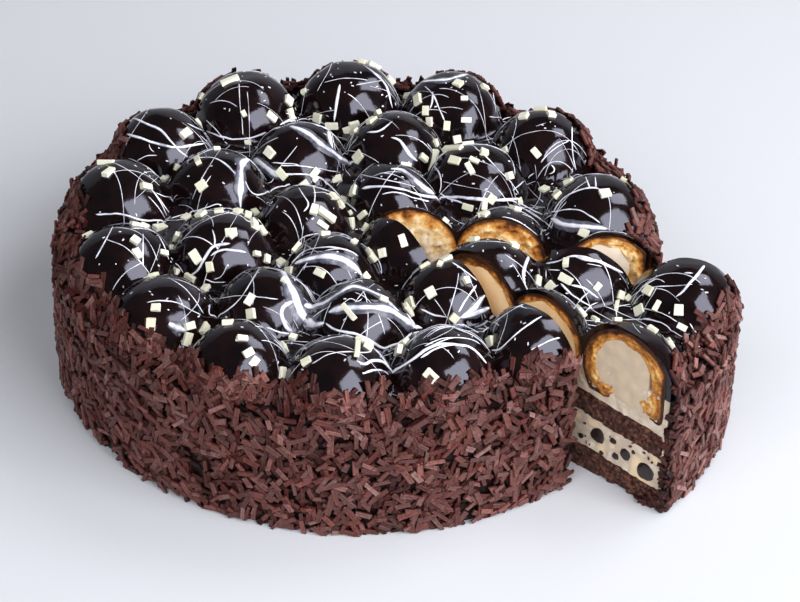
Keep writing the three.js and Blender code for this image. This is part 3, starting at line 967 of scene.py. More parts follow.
def cut_crumb(bun):
    """The crumb on the cut as a grid from crust to edge: along, height, depth and how brown it is.

    A place is edge + share (crust - edge). Its depth is noise for pores, fibres round the bun and holes, and
    the same noise browns the deeper places as painted shade.
    """
    look = bun.look
    share = np.linspace(1, 0, FACE_RINGS)[:, None]
    along = bun.edge_along + share * (bun.crust_along - bun.edge_along)
    height = bun.edge_height + share * (bun.crust_height - bun.edge_height)
    wall = np.hypot(bun.crust_along - bun.edge_along, bun.crust_height - bun.edge_height)
    from_crust = (1 - share) * wall
    spots = np.stack([along, height, np.full_like(along, bun.azimuth)], axis=-1)
    pores = noise(spots, PORE_SIZE) + FINE_PORE * noise(spots, FINE_PORE_SIZE)
    turned = FIBRE_ROUND * np.stack([ROUND_ALONG, ROUND_UP], axis=-1) + np.zeros((FACE_RINGS, 1, 1))
    fibres = noise(np.concatenate([turned, from_crust[..., None] / FIBRE_SIZE], axis=-1), 1.0)
    holes = ease(noise(spots + 160, HOLE_SIZE), *HOLE_RANGE)
    inside = ease(share, 0.0, CREAM_FADE) * ease(1 - share, 0.0, CRUST_FADE)
    relief = CRUMB_RELIEF * (pores + 0.5 * fibres) + HOLE_DEPTH * holes - FACE_PROUD
    depth = inside * relief + OPEN_DEPTH * bun.opening
    ragged = noise(spots + 90, PATCH_SIZE) + FINE_PATCH * noise(spots + 90, FINE_PATCH_SIZE)
    patches = ease(ragged, *PATCH_RANGE) * (1 - ease(from_crust, *PATCH_REACH))
    brown = (
        look["toast_and_shade"]
        + GOLDEN_TINT * (1 - ease(from_crust, 1.0, look["golden"]))
        + CRUST_TINT * (1 - ease(from_crust, 0.1, look.get("crust", USUAL_CRUST)))
        + look.get("patchy", USUAL_PATCHES) * patches
        # painted shade: deeper holes, pores and fibres are browner
        + HOLE_SHADE * holes + PORE_SHADE * pores + FIBRE_SHADE * fibres
    )
    return along, height, depth, brown


print("crumb on a cut:", FACE_RINGS, "rings of", CUT_COLUMNS, "points")

# %% Shell of a cut bun
BACK_RINGS, HOLLOW_RINGS, BACK_TOAST = 10, 6, 0.85


def hollow_rows(bun, growth=0.0):
    """Rings of the hollow's ball from the cut to its back."""
    radius = bun.hollow_radius + growth
    rows = ball_rows(bun.hollow_along, bun.hollow_height, bun.depth, radius, HOLLOW_RINGS, bun.stretch)
    return [row[::-1] for row in rows]


def shell_part(bun):
    """Choux as one closed surface: rings of the bun's back, the crumb on the cut and rings of the hollow."""
    face_along, face_height, face_depth, brown = cut_crumb(bun)
    back = ball_rows(bun.along, CHOUX_MIDDLE, bun.depth, bun.radius, BACK_RINGS, 1.0)
    hollow = hollow_rows(bun)
    points, blocks = closed_rings(
        np.concatenate([back[0], face_along[1:], hollow[0][1:]]),
        np.maximum(np.concatenate([back[1], face_height[1:], hollow[1][1:]]), CHOUX_FOOT),
        np.concatenate([back[2][:-1], face_depth, hollow[2][1:]]),
        (bun.along, CHOUX_MIDDLE, bun.depth + bun.radius),
        (bun.hollow_along, bun.hollow_height, bun.depth + bun.hollow_radius),
    )
    back_toast = np.full(1 + (BACK_RINGS - 1) * CUT_COLUMNS, BACK_TOAST)
    hollow_toast = np.full((HOLLOW_RINGS - 1) * CUT_COLUMNS + 1, bun.look["toast_and_shade"])
    toast_and_shade = np.concatenate([back_toast, brown.ravel(), hollow_toast])
    placed = on_cut(bun.azimuth, bun.side, *kept_apart(points, bun.look).T)
    return held_in(placed, CHOUX_REACH), blocks, {"toast_and_shade": toast_and_shade}


print("rings of a shell:", BACK_RINGS + FACE_RINGS + HOLLOW_RINGS - 2)

# %% Cream of a cut bun
PLUG_RINGS, PLUG_OVERLAP, PLUG_GROWTH = 12, 0.3, 0.1
PLUG_SET, PLUG_CROWN, PLUG_POLE = 0.02, 0.12, -0.1
PLUG_WAVE, PLUG_WAVE_SIZE = 0.14, 4.0
OPEN_RISE, OPEN_DIP, OPEN_DIP_RANGE = 1.0, 0.7, (0.75, 1.0)


def plug_part(bun):
    """Cream as a slightly crowned disc on the cut, out to the crust at an opening, and the hollow's back."""
    share = np.linspace(0, 1, PLUG_RINGS)[1:, None]
    to_crust_along = bun.opening * (bun.crust_along - bun.edge_along)
    to_crust_height = bun.opening * (bun.crust_height - OPEN_RISE - bun.edge_height)
    reach_along = bun.edge_along + to_crust_along + PLUG_OVERLAP * ROUND_ALONG
    reach_height = bun.edge_height + to_crust_height + PLUG_OVERLAP * ROUND_UP
    along = bun.hollow_along + share * (reach_along - bun.hollow_along)
    height = bun.hollow_height + share * (reach_height - bun.hollow_height)
    spots = np.stack([along, height, np.full_like(along, bun.azimuth)], axis=-1)
    depth = PLUG_SET + PLUG_WAVE * noise(spots, PLUG_WAVE_SIZE) - PLUG_CROWN * (1 - share ** 2)
    depth = depth + OPEN_DIP * bun.opening * ease(share, *OPEN_DIP_RANGE)
    back = hollow_rows(bun, PLUG_GROWTH)
    points, blocks = closed_rings(
        np.concatenate([along, back[0][1:]]),
        np.concatenate([height, back[1][1:]]),
        np.concatenate([depth, back[2][1:]]),
        (bun.hollow_along, bun.hollow_height, PLUG_POLE),
        (bun.hollow_along, bun.hollow_height, bun.depth + bun.hollow_radius + PLUG_GROWTH),
    )
    placed = on_cut(bun.azimuth, bun.side, *kept_apart(points, bun.look).T)
    held = held_in(placed, CHOUX_REACH - bun.look["wall"])
    return held, blocks, {"warmth_and_painted_light": np.full(len(points), bun.look["warmth_and_painted_light"])}


print("rings of a plug:", PLUG_RINGS + HOLLOW_RINGS - 2)

# %% Looks of the cut profiteroles
# wall is the shell's thickness and shift moves the hollow. The toast value is how brown the crumb is, golden
# how far in from the crust it is golden, patchy how uneven, and crust how thick the dark crust is. The warmth
# value is the cream's tint, and for two looks painted light: warm bounce light in the slot beside the slice
# and a paler cream on the cake's right cut. opening and curl shape a hollow that is open at its foot. shared
# means that both cuts have this bun.
PLAIN = {"wall": 4.6, "toast_and_shade": 0.25, "golden": 5.0, "warmth_and_painted_light": 0.1}
# Its warm cream is painted warm bounce light in the slot beside the slice.
WARM_BOUNCE = {"wall": 2.5, "toast_and_shade": 0.38, "golden": 4.0, "patchy": 0.4, "warmth_and_painted_light": 0.5, "shift": (0.0, -1.0)}
CRUMBLY = {"wall": 15.0, "toast_and_shade": 0.08, "golden": 9.0, "patchy": 0.5, "warmth_and_painted_light": 0.1, "shift": (0.0, -8.0)}
# Its cream is paler than the rest: painted light, as the cut lies partly in the slice's shade.
THICK_RIGHT = {
    "wall": 5.8, "toast_and_shade": 0.2, "golden": 6.0, "patchy": 0.35, "warmth_and_painted_light": -0.15, "shift": (-3.7, 2.0),
}
GOLDEN = {"wall": 7.5, "toast_and_shade": 0.23, "golden": 6.0, "patchy": 0.45, "warmth_and_painted_light": -0.05, "shift": (0.0, -4.0)}
OPEN_FOOT = {
    "wall": 7.7, "toast_and_shade": 0.42, "golden": 6.5, "patchy": 0.3, "crust": 2.3, "warmth_and_painted_light": 0.1,
    "shift": (-1.7, 2.3),
    "opening": face_bulge(279, 36) ** 0.5,
    "curl": 1 - 0.26 * face_bulge(243, 24) - 0.05 * face_bulge(312, 22),
}
SHARED_WARM_BOUNCE = {**WARM_BOUNCE, "wall": 3.2, "shared": True}
print("open at the foot:", np.count_nonzero(OPEN_FOOT["opening"]), "of", CUT_COLUMNS, "columns")

# %% Cut profiteroles of the cake and the slice
CUT_FACES = [
    ("choux_inner_03_1", None, "inner_03", RIGHT_CUT, MATERIAL_AHEAD, CRUMBLY),
    ("choux_middle_05", "filling_middle_05", "middle_05", RIGHT_CUT, MATERIAL_AHEAD, GOLDEN),
    ("choux_outer_07", "filling_outer_07", "outer_07", RIGHT_CUT, MATERIAL_AHEAD, THICK_RIGHT),
    ("choux_inner_03_2", "filling_inner_03", "inner_03", LEFT_CUT, MATERIAL_BEHIND, PLAIN),
    ("choux_middle_06", "filling_middle_06", "middle_06", LEFT_CUT, MATERIAL_BEHIND, WARM_BOUNCE),
    ("choux_outer_08", "filling_outer_08", "outer_08", LEFT_CUT, MATERIAL_BEHIND, PLAIN),
]
SLICE_FACES = [
    ("slice_choux_middle_06", "slice_filling_middle_06", "middle_06", LEFT_CUT, MATERIAL_AHEAD, WARM_BOUNCE),
    ("slice_choux_outer_08", "slice_filling_outer_08", "outer_08", LEFT_CUT, MATERIAL_AHEAD, OPEN_FOOT),
    ("slice_choux_middle_05", "slice_filling_middle_05", "middle_05", RIGHT_CUT, MATERIAL_BEHIND, PLAIN),
    ("slice_choux_outer_07", "slice_filling_outer_07", "outer_07", RIGHT_CUT, MATERIAL_BEHIND, PLAIN),
]
for faces, in_slice in ((CUT_FACES, False), (SLICE_FACES, True)):
    for shell_node, plug_node, dome, azimuth, side, look in faces:
        bun = cut_bun(dome, azimuth, side, look, in_slice)
        shell = shell_part(bun)
        add_piece(f"{shell_node}_crumb", [shell], CHOUX, [shell_node], in_slice, SHARP_CUT)
        if plug_node:
            plug = plug_part(bun)
            add_piece(f"{plug_node}_cream", [plug], CREAM, [plug_node], in_slice, SHARP_CUT)

# The slice's innermost bun is cut on both sides, so its shell and its cream are two parts each
both = [
    cut_bun("inner_03", LEFT_CUT, MATERIAL_AHEAD, SHARED_WARM_BOUNCE, True),
    cut_bun("inner_03", RIGHT_CUT, MATERIAL_BEHIND, SHARED_WARM_BOUNCE, True),
]
shells, plugs = [shell_part(bun) for bun in both], [plug_part(bun) for bun in both]
add_piece("slice_choux_inner_03_crumb", shells, CHOUX, ["slice_choux_inner_03"], True, SHARP_CUT)
add_piece("slice_filling_inner_03_cream", plugs, CREAM, ["slice_filling_inner_03"], True, SHARP_CUT)

# Whole choux under the glaze stay as the solids have them, with the same finish
whole = [node for name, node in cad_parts.items() if name.startswith("choux_") and not node.hide_render]
for node in whole:
    for holder in node.material_slots:
        holder.material = CHOUX
print("whole choux:", len(whole))

# %% [markdown]
# ## Chocolate balls
# Dark balls sit in the lower cream and were sliced with it. Whole spheres set into the cream would show hard
# round rims. Here a ball is a lumpy round grid whose part in front of the cut is pressed almost flat, so that
# it shows as a disc with a soft edge. Small balls lie between the large ones, and the knife has spread crumbs
# of sponge over the cream.

# %% Balls in the lower cream
BALLS = [(84.9, 18.6, 3.4), (98.0, 17.3, 2.4), (107.9, 14.4, 3.6)]
SMALL_BALLS = [(92.0, 20.1, 1.3), (93.6, 13.6, 1.5), (87.1, 11.6, 1.0), (101.6, 20.2, 0.8), (77.0, 14.5, 1.2)]
HIDDEN_BALLS = [
    (28.0, 15.0, 3.2), (47.0, 13.2, 3.6), (66.0, 17.0, 2.8), (92.0, 13.0, 3.6), (106.0, 16.5, 2.6),
]
BALL_PROUD, BALL_STEP = 0.16, 0.1
BALL_LUMPS = ((0.2, 0.8), (0.1, 0.4))
BALL_STEPS, BALL_COLUMNS = 13, 44
BALL_TILT = np.linspace(0, math.pi, BALL_STEPS)[1:-1, None]
ROUND_BALL = np.linspace(0, 2 * math.pi, BALL_COLUMNS, endpoint=False)


def ball_part(along, height, radius, azimuth, side):
    """A lumpy ball centred on a cut: spherical rings, with the part before the cut pressed to a low dome."""
    reach = radius * np.sin(BALL_TILT)
    rows_along = along + reach * np.cos(ROUND_BALL)
    rows_height = height + reach * np.sin(ROUND_BALL)
    rows_depth = np.broadcast_to(radius * np.cos(BALL_TILT), rows_along.shape)
    poles = (along, height, radius), (along, height, -radius)
    points, blocks = closed_rings(rows_along, rows_height, rows_depth, *poles)
    middle = np.array([along, height, 0.0])
    lumps = sum(depth * noise(points, size * radius) for depth, size in BALL_LUMPS)
    points = middle + (points - middle) * (1 + lumps)[:, None]
    points[:, 2] = np.where(points[:, 2] < 0, BALL_PROUD * points[:, 2] - BALL_STEP, points[:, 2])
    return on_cut(azimuth, side, *points.T), blocks, {}


def ball_row(rows, azimuth, side):
    """Balls on one cut, each from its distance along it, its height and its radius."""
    return [ball_part(*row, azimuth, side) for row in rows]


seen = ball_row(BALLS + SMALL_BALLS, LEFT_CUT, MATERIAL_AHEAD)
hidden = ball_row(HIDDEN_BALLS, RIGHT_CUT, MATERIAL_BEHIND)
ball_nodes = [f"slice_chocolate_ball_{number}" for number in (1, 2, 3)]
add_piece("slice_chocolate_balls", seen + hidden, BALL, ball_nodes, True, SHARP_CUT)

facing = ball_row(BALLS, LEFT_CUT, MATERIAL_BEHIND) + ball_row(HIDDEN_BALLS, RIGHT_CUT, MATERIAL_AHEAD)
add_piece("chocolate_balls", facing, BALL, ["lower_cream"], False, SHARP_CUT)

# %% Crumbs on the lower cream
CRUMB_COUNT, CRUMB_SIZES, CRUMB_LEAN = 22, ((0.5, 1.4), (0.4, 0.9), (0.3, 0.6)), 0.2
CRUMB_INNER, CRUMB_RIM, CRUMB_EDGE = 30.0, 3.0, 0.5


def crumb_part(azimuth, side, draw):
    """Crumbs strewn over the lower cream of a cut: tiny bars lying on it."""
    foot, top = LAYERS["lower_cream"]
    along = draw.uniform(CRUMB_INNER, LAYER_RADIUS - CRUMB_RIM, CRUMB_COUNT)
    height = draw.uniform(foot + CRUMB_EDGE, top - CRUMB_EDGE, CRUMB_COUNT)
    sizes = np.column_stack([draw.uniform(*limits, CRUMB_COUNT) for limits in CRUMB_SIZES])
    centres = on_cut(azimuth, side, along, height, np.zeros(CRUMB_COUNT))
    normals = np.tile(cut_normal(azimuth, side), (CRUMB_COUNT, 1))
    points, blocks, _ = bars(centres, normals, sizes, np.zeros(CRUMB_COUNT), CRUMB_LEAN, draw)
    return points, blocks, {}


crumbs = crumb_part(LEFT_CUT, MATERIAL_AHEAD, np.random.default_rng(41))
add_piece("slice_sponge_crumbs", [crumbs], SPONGE, ["slice_lower_cream"], True)

# %% [markdown]
# ## Cream at the rim of the cuts
# Where the knife came out it drew a little cream over the ends of the sponge, in a ragged strip. It could be
# a stain in the sponge's finish, but cream stands a little proud, so it is a thin bar with a wavy inner edge.

# %% Strips of cream
FRINGE_FOOT, FRINGE_TOP, FRINGE_ROWS = 20.0, 40.0, 70
FRINGE_INNER, FRINGE_LIP, FRINGE_CLEAR = 114.0, 0.5, 0.05
FRINGE_WAVES = ((1.4, 3.0), (0.8, 1.3))
FRINGE_DEPTHS = (0.5, -0.45, -0.35, 0.5)
FRINGE_WARMTH = 0.1


def fringe_part(azimuth, side):
    """A flat bar up the rim of a cut: inner foot, inner lip and two corners at the rim, with a wavy edge."""
    height = np.linspace(FRINGE_FOOT, FRINGE_TOP, FRINGE_ROWS)
    spots = np.column_stack([height, np.full(FRINGE_ROWS, azimuth), np.zeros(FRINGE_ROWS)])
    inner = FRINGE_INNER + sum(depth * noise(spots, size) for depth, size in FRINGE_WAVES)
    rim = np.full(FRINGE_ROWS, LAYER_RADIUS - FRINGE_CLEAR)
    along = np.column_stack([inner, inner + FRINGE_LIP, rim, rim])
    depth = np.tile(FRINGE_DEPTHS, (FRINGE_ROWS, 1))
    lift = np.tile(height[:, None], (1, len(FRINGE_DEPTHS)))
    points = on_cut(azimuth, side, along.ravel(), lift.ravel(), depth.ravel())
    return points, tube_blocks(*along.shape), {"warmth_and_painted_light": np.full(len(points), FRINGE_WARMTH)}


for node, in_slice, left_side, right_side in (
    ("upper_cream", False, MATERIAL_BEHIND, MATERIAL_AHEAD),
    ("slice_upper_cream", True, MATERIAL_AHEAD, MATERIAL_BEHIND),
):
    strips = [fringe_part(LEFT_CUT, left_side), fringe_part(RIGHT_CUT, right_side)]
    add_piece(f"{node}_fringe", strips, CREAM, [node], in_slice, SHARP_CUT)

# %% [markdown]
# ## Coat of flakes
# The side is covered with chocolate flakes, short bars that lie flat on the wall in every direction and climb
# the flanks of the outer profiteroles. A thin wall carries them, in the darkest tone as painted shade between
# the flakes. A particle system could strew them, but its copies aren't meshes. So all flakes are one mesh: a
# straight bar with a groove down its face, repeated with its own place, turn, size, tone and redness. The
# gaps between real flakes lie in shade, so each bar's foot and each deep flake are darker: painted shade. On
# the slice the knife has dragged some over the cut.

# %% Wall under the flakes
COAT_INNER, COAT_BED, COAT_FOOT, COAT_TOP = 115.8, 116.9, 0.4, 51.8
# The wall under the flakes takes the darkest tone: painted shade in the gaps between flakes.
BED_PAINTED_SHADE = -0.1


def coat_bed(span):
    """A ring sector with a square section: inner foot, outer foot, outer top and inner top at each angle."""
    angle = np.radians(np.linspace(*span, int((span[1] - span[0]) / RIM_STEP) + 1))
    section = np.array([
        (COAT_INNER, COAT_FOOT), (COAT_BED, COAT_FOOT), (COAT_BED, COAT_TOP), (COAT_INNER, COAT_TOP),
    ])
    distance = np.broadcast_to(section[:, 0], (len(angle), len(section)))
    height = np.broadcast_to(section[:, 1], distance.shape)
    x, y = distance * np.cos(angle)[:, None], distance * np.sin(angle)[:, None]
    points = np.stack([x, y, height], axis=-1).reshape(-1, 3)
    return points, tube_blocks(*x.shape), {"tone": np.full(len(points), BED_PAINTED_SHADE)}


bed = coat_bed(CAKE_SPAN)
add_piece("side_coat_bed", [bed], FLAKE, ["side_coat"], False, SHARP_CUT)

# %% Places of the flakes
# Tilts, swings and azimuths are in degrees, the rest in millimetres
WALL_FLAKES, FLANK_FLAKES, VALLEY_FLAKES = 6900, 1700, 850
FLAKE_DEPTH, FLAKE_FOOT = 2.0, 0.6
FLAKE_TOP_TILT, TILT_SPREAD, TILT_POWER, FLANK_SWING = 34.0, 5.0, 0.8, 72.0
RIGHT_TILT, RIGHT_AZIMUTH, RIGHT_RANGE = {False: 14.0, True: 0.0}, 20.0, (0.3, 0.9)
FLANK_REACH, FLANK_SPREAD, FLANK_LIFT = 107.5, 1.5, (0.1, 0.9)
VALLEY_BAND, VALLEY_BACK, VALLEY_BACK_RANGE = (104.0, 117.0), 5.5, (-0.5, 0.2)
VALLEY_TOP, VALLEY_LIFT, VALLEY_LEAN, VALLEY_TRIES = 58.0, (0.0, 1.2), 0.7, 6


def wall_flakes(span, draw):
    """Flakes spread evenly over angle and height on the wall, in a band of depth."""
    count = int(WALL_FLAKES * (span[1] - span[0]) / 360)
    azimuth = np.radians(span[0] + (span[1] - span[0]) * (np.arange(count) + draw.random(count)) / count)
    rank = draw.permutation((np.arange(count) + draw.random(count)) / count)
    depth = draw.random(count)
    outward = np.stack([np.cos(azimuth), np.sin(azimuth), np.zeros(count)], axis=-1)
    centres = (COAT_BED + FLAKE_DEPTH * depth)[:, None] * outward
    centres[:, 2] = rank * (COAT_TOP - FLAKE_FOOT) + FLAKE_FOOT
    return centres, outward, depth - 0.5


def flank_flakes(in_slice, draw):
    """Flakes on the outer domes: directions about the dome's own azimuth, up to an uneven upper edge."""
    outer = np.array([place for name, place in DOMES[in_slice].items() if name.startswith("outer")])
    dome = outer[draw.integers(0, len(outer), FLANK_FLAKES)]
    azimuth = np.degrees(np.arctan2(dome[:, 1], dome[:, 0]))
    to_right = np.cos(np.radians(azimuth - RIGHT_AZIMUTH))
    upper = FLAKE_TOP_TILT + RIGHT_TILT[in_slice] * ease(to_right, *RIGHT_RANGE)
    upper = upper + TILT_SPREAD * draw.standard_normal(FLANK_FLAKES)
    tilt = np.radians(draw.random(FLANK_FLAKES) ** TILT_POWER * upper)
    swing = np.radians(azimuth + draw.uniform(-FLANK_SWING, FLANK_SWING, FLANK_FLAKES))
    outward = np.stack([np.cos(tilt) * np.cos(swing), np.cos(tilt) * np.sin(swing), np.sin(tilt)], axis=-1)
    middle = np.column_stack([dome[:, :2], np.full(FLANK_FLAKES, CHOUX_MIDDLE)])
    lift = draw.random(FLANK_FLAKES)
    centres = middle + (dome[:, 2] + FLANK_LIFT[0] + FLANK_LIFT[1] * lift)[:, None] * outward
    inner = FLANK_REACH + FLANK_SPREAD * draw.standard_normal(FLANK_FLAKES)
    kept = np.hypot(centres[:, 0], centres[:, 1]) > inner
    return centres[kept], outward[kept], lift[kept] - 0.5


def valley_flakes(in_slice, draw):
    """Flakes between the outer domes, near the rim, leaning outwards."""
    tried = VALLEY_TRIES * VALLEY_FLAKES
    azimuth = np.radians(draw.uniform(0, 360, tried))
    inner = VALLEY_BAND[0] + VALLEY_BACK * ease(np.sin(azimuth), *VALLEY_BACK_RANGE)
    distance = inner + (VALLEY_BAND[1] - inner) * draw.random(tried)
    x, y = distance * np.cos(azimuth), distance * np.sin(azimuth)
    height = glaze_height(x, y, in_slice)
    kept = np.nonzero(height < VALLEY_TOP)[0][:VALLEY_FLAKES]
    x, y, height, azimuth = x[kept], y[kept], height[kept], azimuth[kept]
    leaning = VALLEY_LEAN * np.stack([np.cos(azimuth), np.sin(azimuth), 0 * azimuth], axis=-1)
    lift = draw.random(len(x))
    centres = np.stack([x, y, height + VALLEY_LIFT[0] + VALLEY_LIFT[1] * lift], axis=-1)
    return centres, glaze_normal(x, y, in_slice) + leaning, lift - 0.5


def from_cuts(points, span):
    """Distance along the round to the nearer cut, negative outside the span."""
    turn = np.degrees(np.arctan2(points[:, 1], points[:, 0])) - span[0]
    turn = (turn + 180 - (span[1] - span[0]) / 2) % 360 - 180 + (span[1] - span[0]) / 2
    nearer = np.minimum(turn, span[1] - span[0] - turn)
    return np.radians(nearer) * np.hypot(points[:, 0], points[:, 1])


print("flakes at most:", WALL_FLAKES + 2 * (FLANK_FLAKES + VALLEY_FLAKES))

# %% Flakes
COAT_REACH = 119.5
FLAKE_LENGTH, FLAKE_WIDTH, FLAKE_THICK = (2.4, 9.5), (1.4, 2.6), (0.8, 1.5)
FLAKE_USUAL, FLAKE_SKEW, FLAKE_LEAN = 5.2, 0.3, 0.12
CUT_MARGIN, CUT_OVERHANG = 0.2, 4.5
CUT_SHADE, SHADE_RANGE = {False: 0.0, True: 0.35}, (1.0, 5.0)
# Deep flakes are darker and proud ones lighter: painted shade through the depth of the coat.
FLAKE_TONE, DEPTH_PAINTED_SHADE, FOOT_PAINTED_SHADE, TONE_RANGE = (0.31, 0.08), 0.5, -0.4, (-0.1, 0.78)
# The slice's flakes are a little lighter in tone: painted light.
REDNESS, SLICE_PAINTED_LIGHT = (-0.2, 0.25, 0.9), 0.07


def flake_bars(centres, normals, sizes, tone, lean, draw):
    """Grooved bars, each with its own tone and redness, and with painted shade darkening each bar's foot."""
    points, blocks, values = bars(centres, normals, sizes, tone, lean, draw, GROOVED, FLAKE_SKEW)
    # painted shade: the lower corners of each section are darker, standing for shade in the gaps
    values["tone"] += np.tile(FOOT_PAINTED_SHADE * (GROOVED[:, 1] < 0), 2 * len(centres))
    values["redness"] = np.repeat(draw.triangular(*REDNESS, len(centres)), 2 * len(GROOVED))
    return points, blocks, values


def coat_flakes(in_slice, seed):
    """All flakes of one coat. Near a cut they are short, and on the slice they are darker there as painted
    shade. Deep ones get painted shade, darker than those on top.
    """
    span = SPANS[in_slice]
    draw = np.random.default_rng(seed)
    made = [wall_flakes(span, draw), flank_flakes(in_slice, draw), valley_flakes(in_slice, draw)]
    centres, normals, proud = [np.concatenate(group) for group in zip(*made)]
    centres = held_in(centres, COAT_REACH)
    clear = from_cuts(centres, span)
    kept = clear > CUT_MARGIN
    centres, normals, proud, clear = centres[kept], normals[kept], proud[kept], clear[kept]
    count = len(centres)
    usual = draw.triangular(FLAKE_LENGTH[0], FLAKE_USUAL, FLAKE_LENGTH[1], count)
    length = np.minimum(usual, 2 * clear + CUT_OVERHANG)
    sizes = np.column_stack([length, draw.uniform(*FLAKE_WIDTH, count), draw.uniform(*FLAKE_THICK, count)])
    shade = CUT_SHADE[in_slice] * (1 - ease(clear, *SHADE_RANGE))
    tone = draw.normal(*FLAKE_TONE, count) + DEPTH_PAINTED_SHADE * proud - shade + SLICE_PAINTED_LIGHT * in_slice
    return flake_bars(centres, normals, sizes, np.clip(tone, *TONE_RANGE), FLAKE_LEAN, draw)


flakes = coat_flakes(False, 11)
add_piece("side_coat_flakes", [flakes], FLAKE, ["side_coat"])

# %% Wall and flakes of the slice
CLUMP_FLAKES, CLUMP_ALONG, CLUMP_FOOT, CLUMP_RISE = 34, (107.0, 117.5), 0.8, 9.0
EDGE_FLAKES, EDGE_ALONG, EDGE_HEIGHT = 24, (115.2, 117.2), (1.0, 46.0)
DRAGGED_LENGTH, DRAGGED_DEPTH, DRAGGED_LEAN = (2.0, 5.5), (-0.9, 0.1), 0.22
# Dragged flakes lie on the shaded cut, so their tone is lower: painted shade.
DRAGGED_SHADED_TONE = (0.2, 0.09)


def dragged_flakes(azimuth, side, draw):
    """Flakes that the knife dragged over a cut: a clump at the outer foot and a few up the edge, in a darker
    tone as painted shade.
    """
    clump = draw.uniform(*CLUMP_ALONG, CLUMP_FLAKES)
    slope = (clump - CLUMP_ALONG[0]) / (CLUMP_ALONG[1] - CLUMP_ALONG[0])
    low = CLUMP_FOOT + CLUMP_RISE * slope * draw.random(CLUMP_FLAKES)
    along = np.concatenate([clump, draw.uniform(*EDGE_ALONG, EDGE_FLAKES)])
    height = np.concatenate([low, draw.uniform(*EDGE_HEIGHT, EDGE_FLAKES)])
    count = len(along)
    centres = on_cut(azimuth, side, along, height, draw.uniform(*DRAGGED_DEPTH, count))
    limits = (DRAGGED_LENGTH, FLAKE_WIDTH, FLAKE_THICK)
    sizes = np.column_stack([draw.uniform(*pair, count) for pair in limits])
    tone = draw.normal(*DRAGGED_SHADED_TONE, count)
    normals = np.tile(cut_normal(azimuth, side), (count, 1))
    return flake_bars(centres, normals, sizes, tone, DRAGGED_LEAN, draw)


bed = coat_bed(SLICE_SPAN)
add_piece("slice_side_coat_bed", [bed], FLAKE, ["slice_side_coat"], True, SHARP_CUT)

flakes = coat_flakes(True, 12)
dragged = dragged_flakes(LEFT_CUT, MATERIAL_AHEAD, np.random.default_rng(13))
add_piece("slice_side_coat_flakes", [flakes, dragged], FLAKE, ["slice_side_coat"], True)

# %% [markdown]
# ## White drizzle
# White chocolate was flung over the glaze in threads that follow every dome and run together in the hollows.
# Their courses were read from the picture, as pixels, each with the thread's width in millimetres. A
# smooth line joins the pixels, a line of sight through each of its points is followed down until it meets the
# glaze, and a low arch is carried along the places found. A curve object with a bevel would do the same, but
# it couldn't swell, thin and fade along its way as easily. Wide threads get a grey smear round them, and fine
# hairs and specks are strewn over all.

# %% From a pixel to the glaze
SIGHT_HIGH, SIGHT_LOW, SIGHT_STEP = 78.0, 50.0, 0.25
RIM_CLEAR = 0.5


def to_slice(points):
    """Points of the cake seen from the slice's own place: moved back, then turned back."""
    return (points - SLICE_MOVE) @ SLICE_ROTATION.T


def in_sector(x, y, span):
    """True between the cuts and inside the rim."""
    turn = (np.degrees(np.arctan2(y, x)) - span[0]) % 360
    return (turn < span[1] - span[0]) & (np.hypot(x, y) < LAYER_RADIUS - RIM_CLEAR)


def land(pixels, in_slice):
    """Places where lines of sight first meet the glaze, tried from the crowns down, and whether each does."""
    offset = (np.asarray(pixels, float) - np.array(IMAGE_SIZE) / 2) / FOCAL_PIXELS
    sight = FORWARD + offset[:, :1] * RIGHT - offset[:, 1:] * UP
    heights = np.arange(SIGHT_HIGH, SIGHT_LOW, -SIGHT_STEP)
    reach = (heights - EYE[2]) / sight[:, 2:]
    spots = EYE + reach[..., None] * sight[:, None, :]
    if in_slice:
        spots = to_slice(spots)
    x, y, z = np.moveaxis(spots, -1, 0)
    met = (z <= glaze_height(x, y, in_slice)) & in_sector(x, y, SPANS[in_slice])
    first = met.argmax(axis=1)
    return spots[np.arange(len(first)), first], met.any(axis=1)


print("pixel (300, 300) meets the glaze at", land([(300, 300)], False)[0].round(1), "mm")

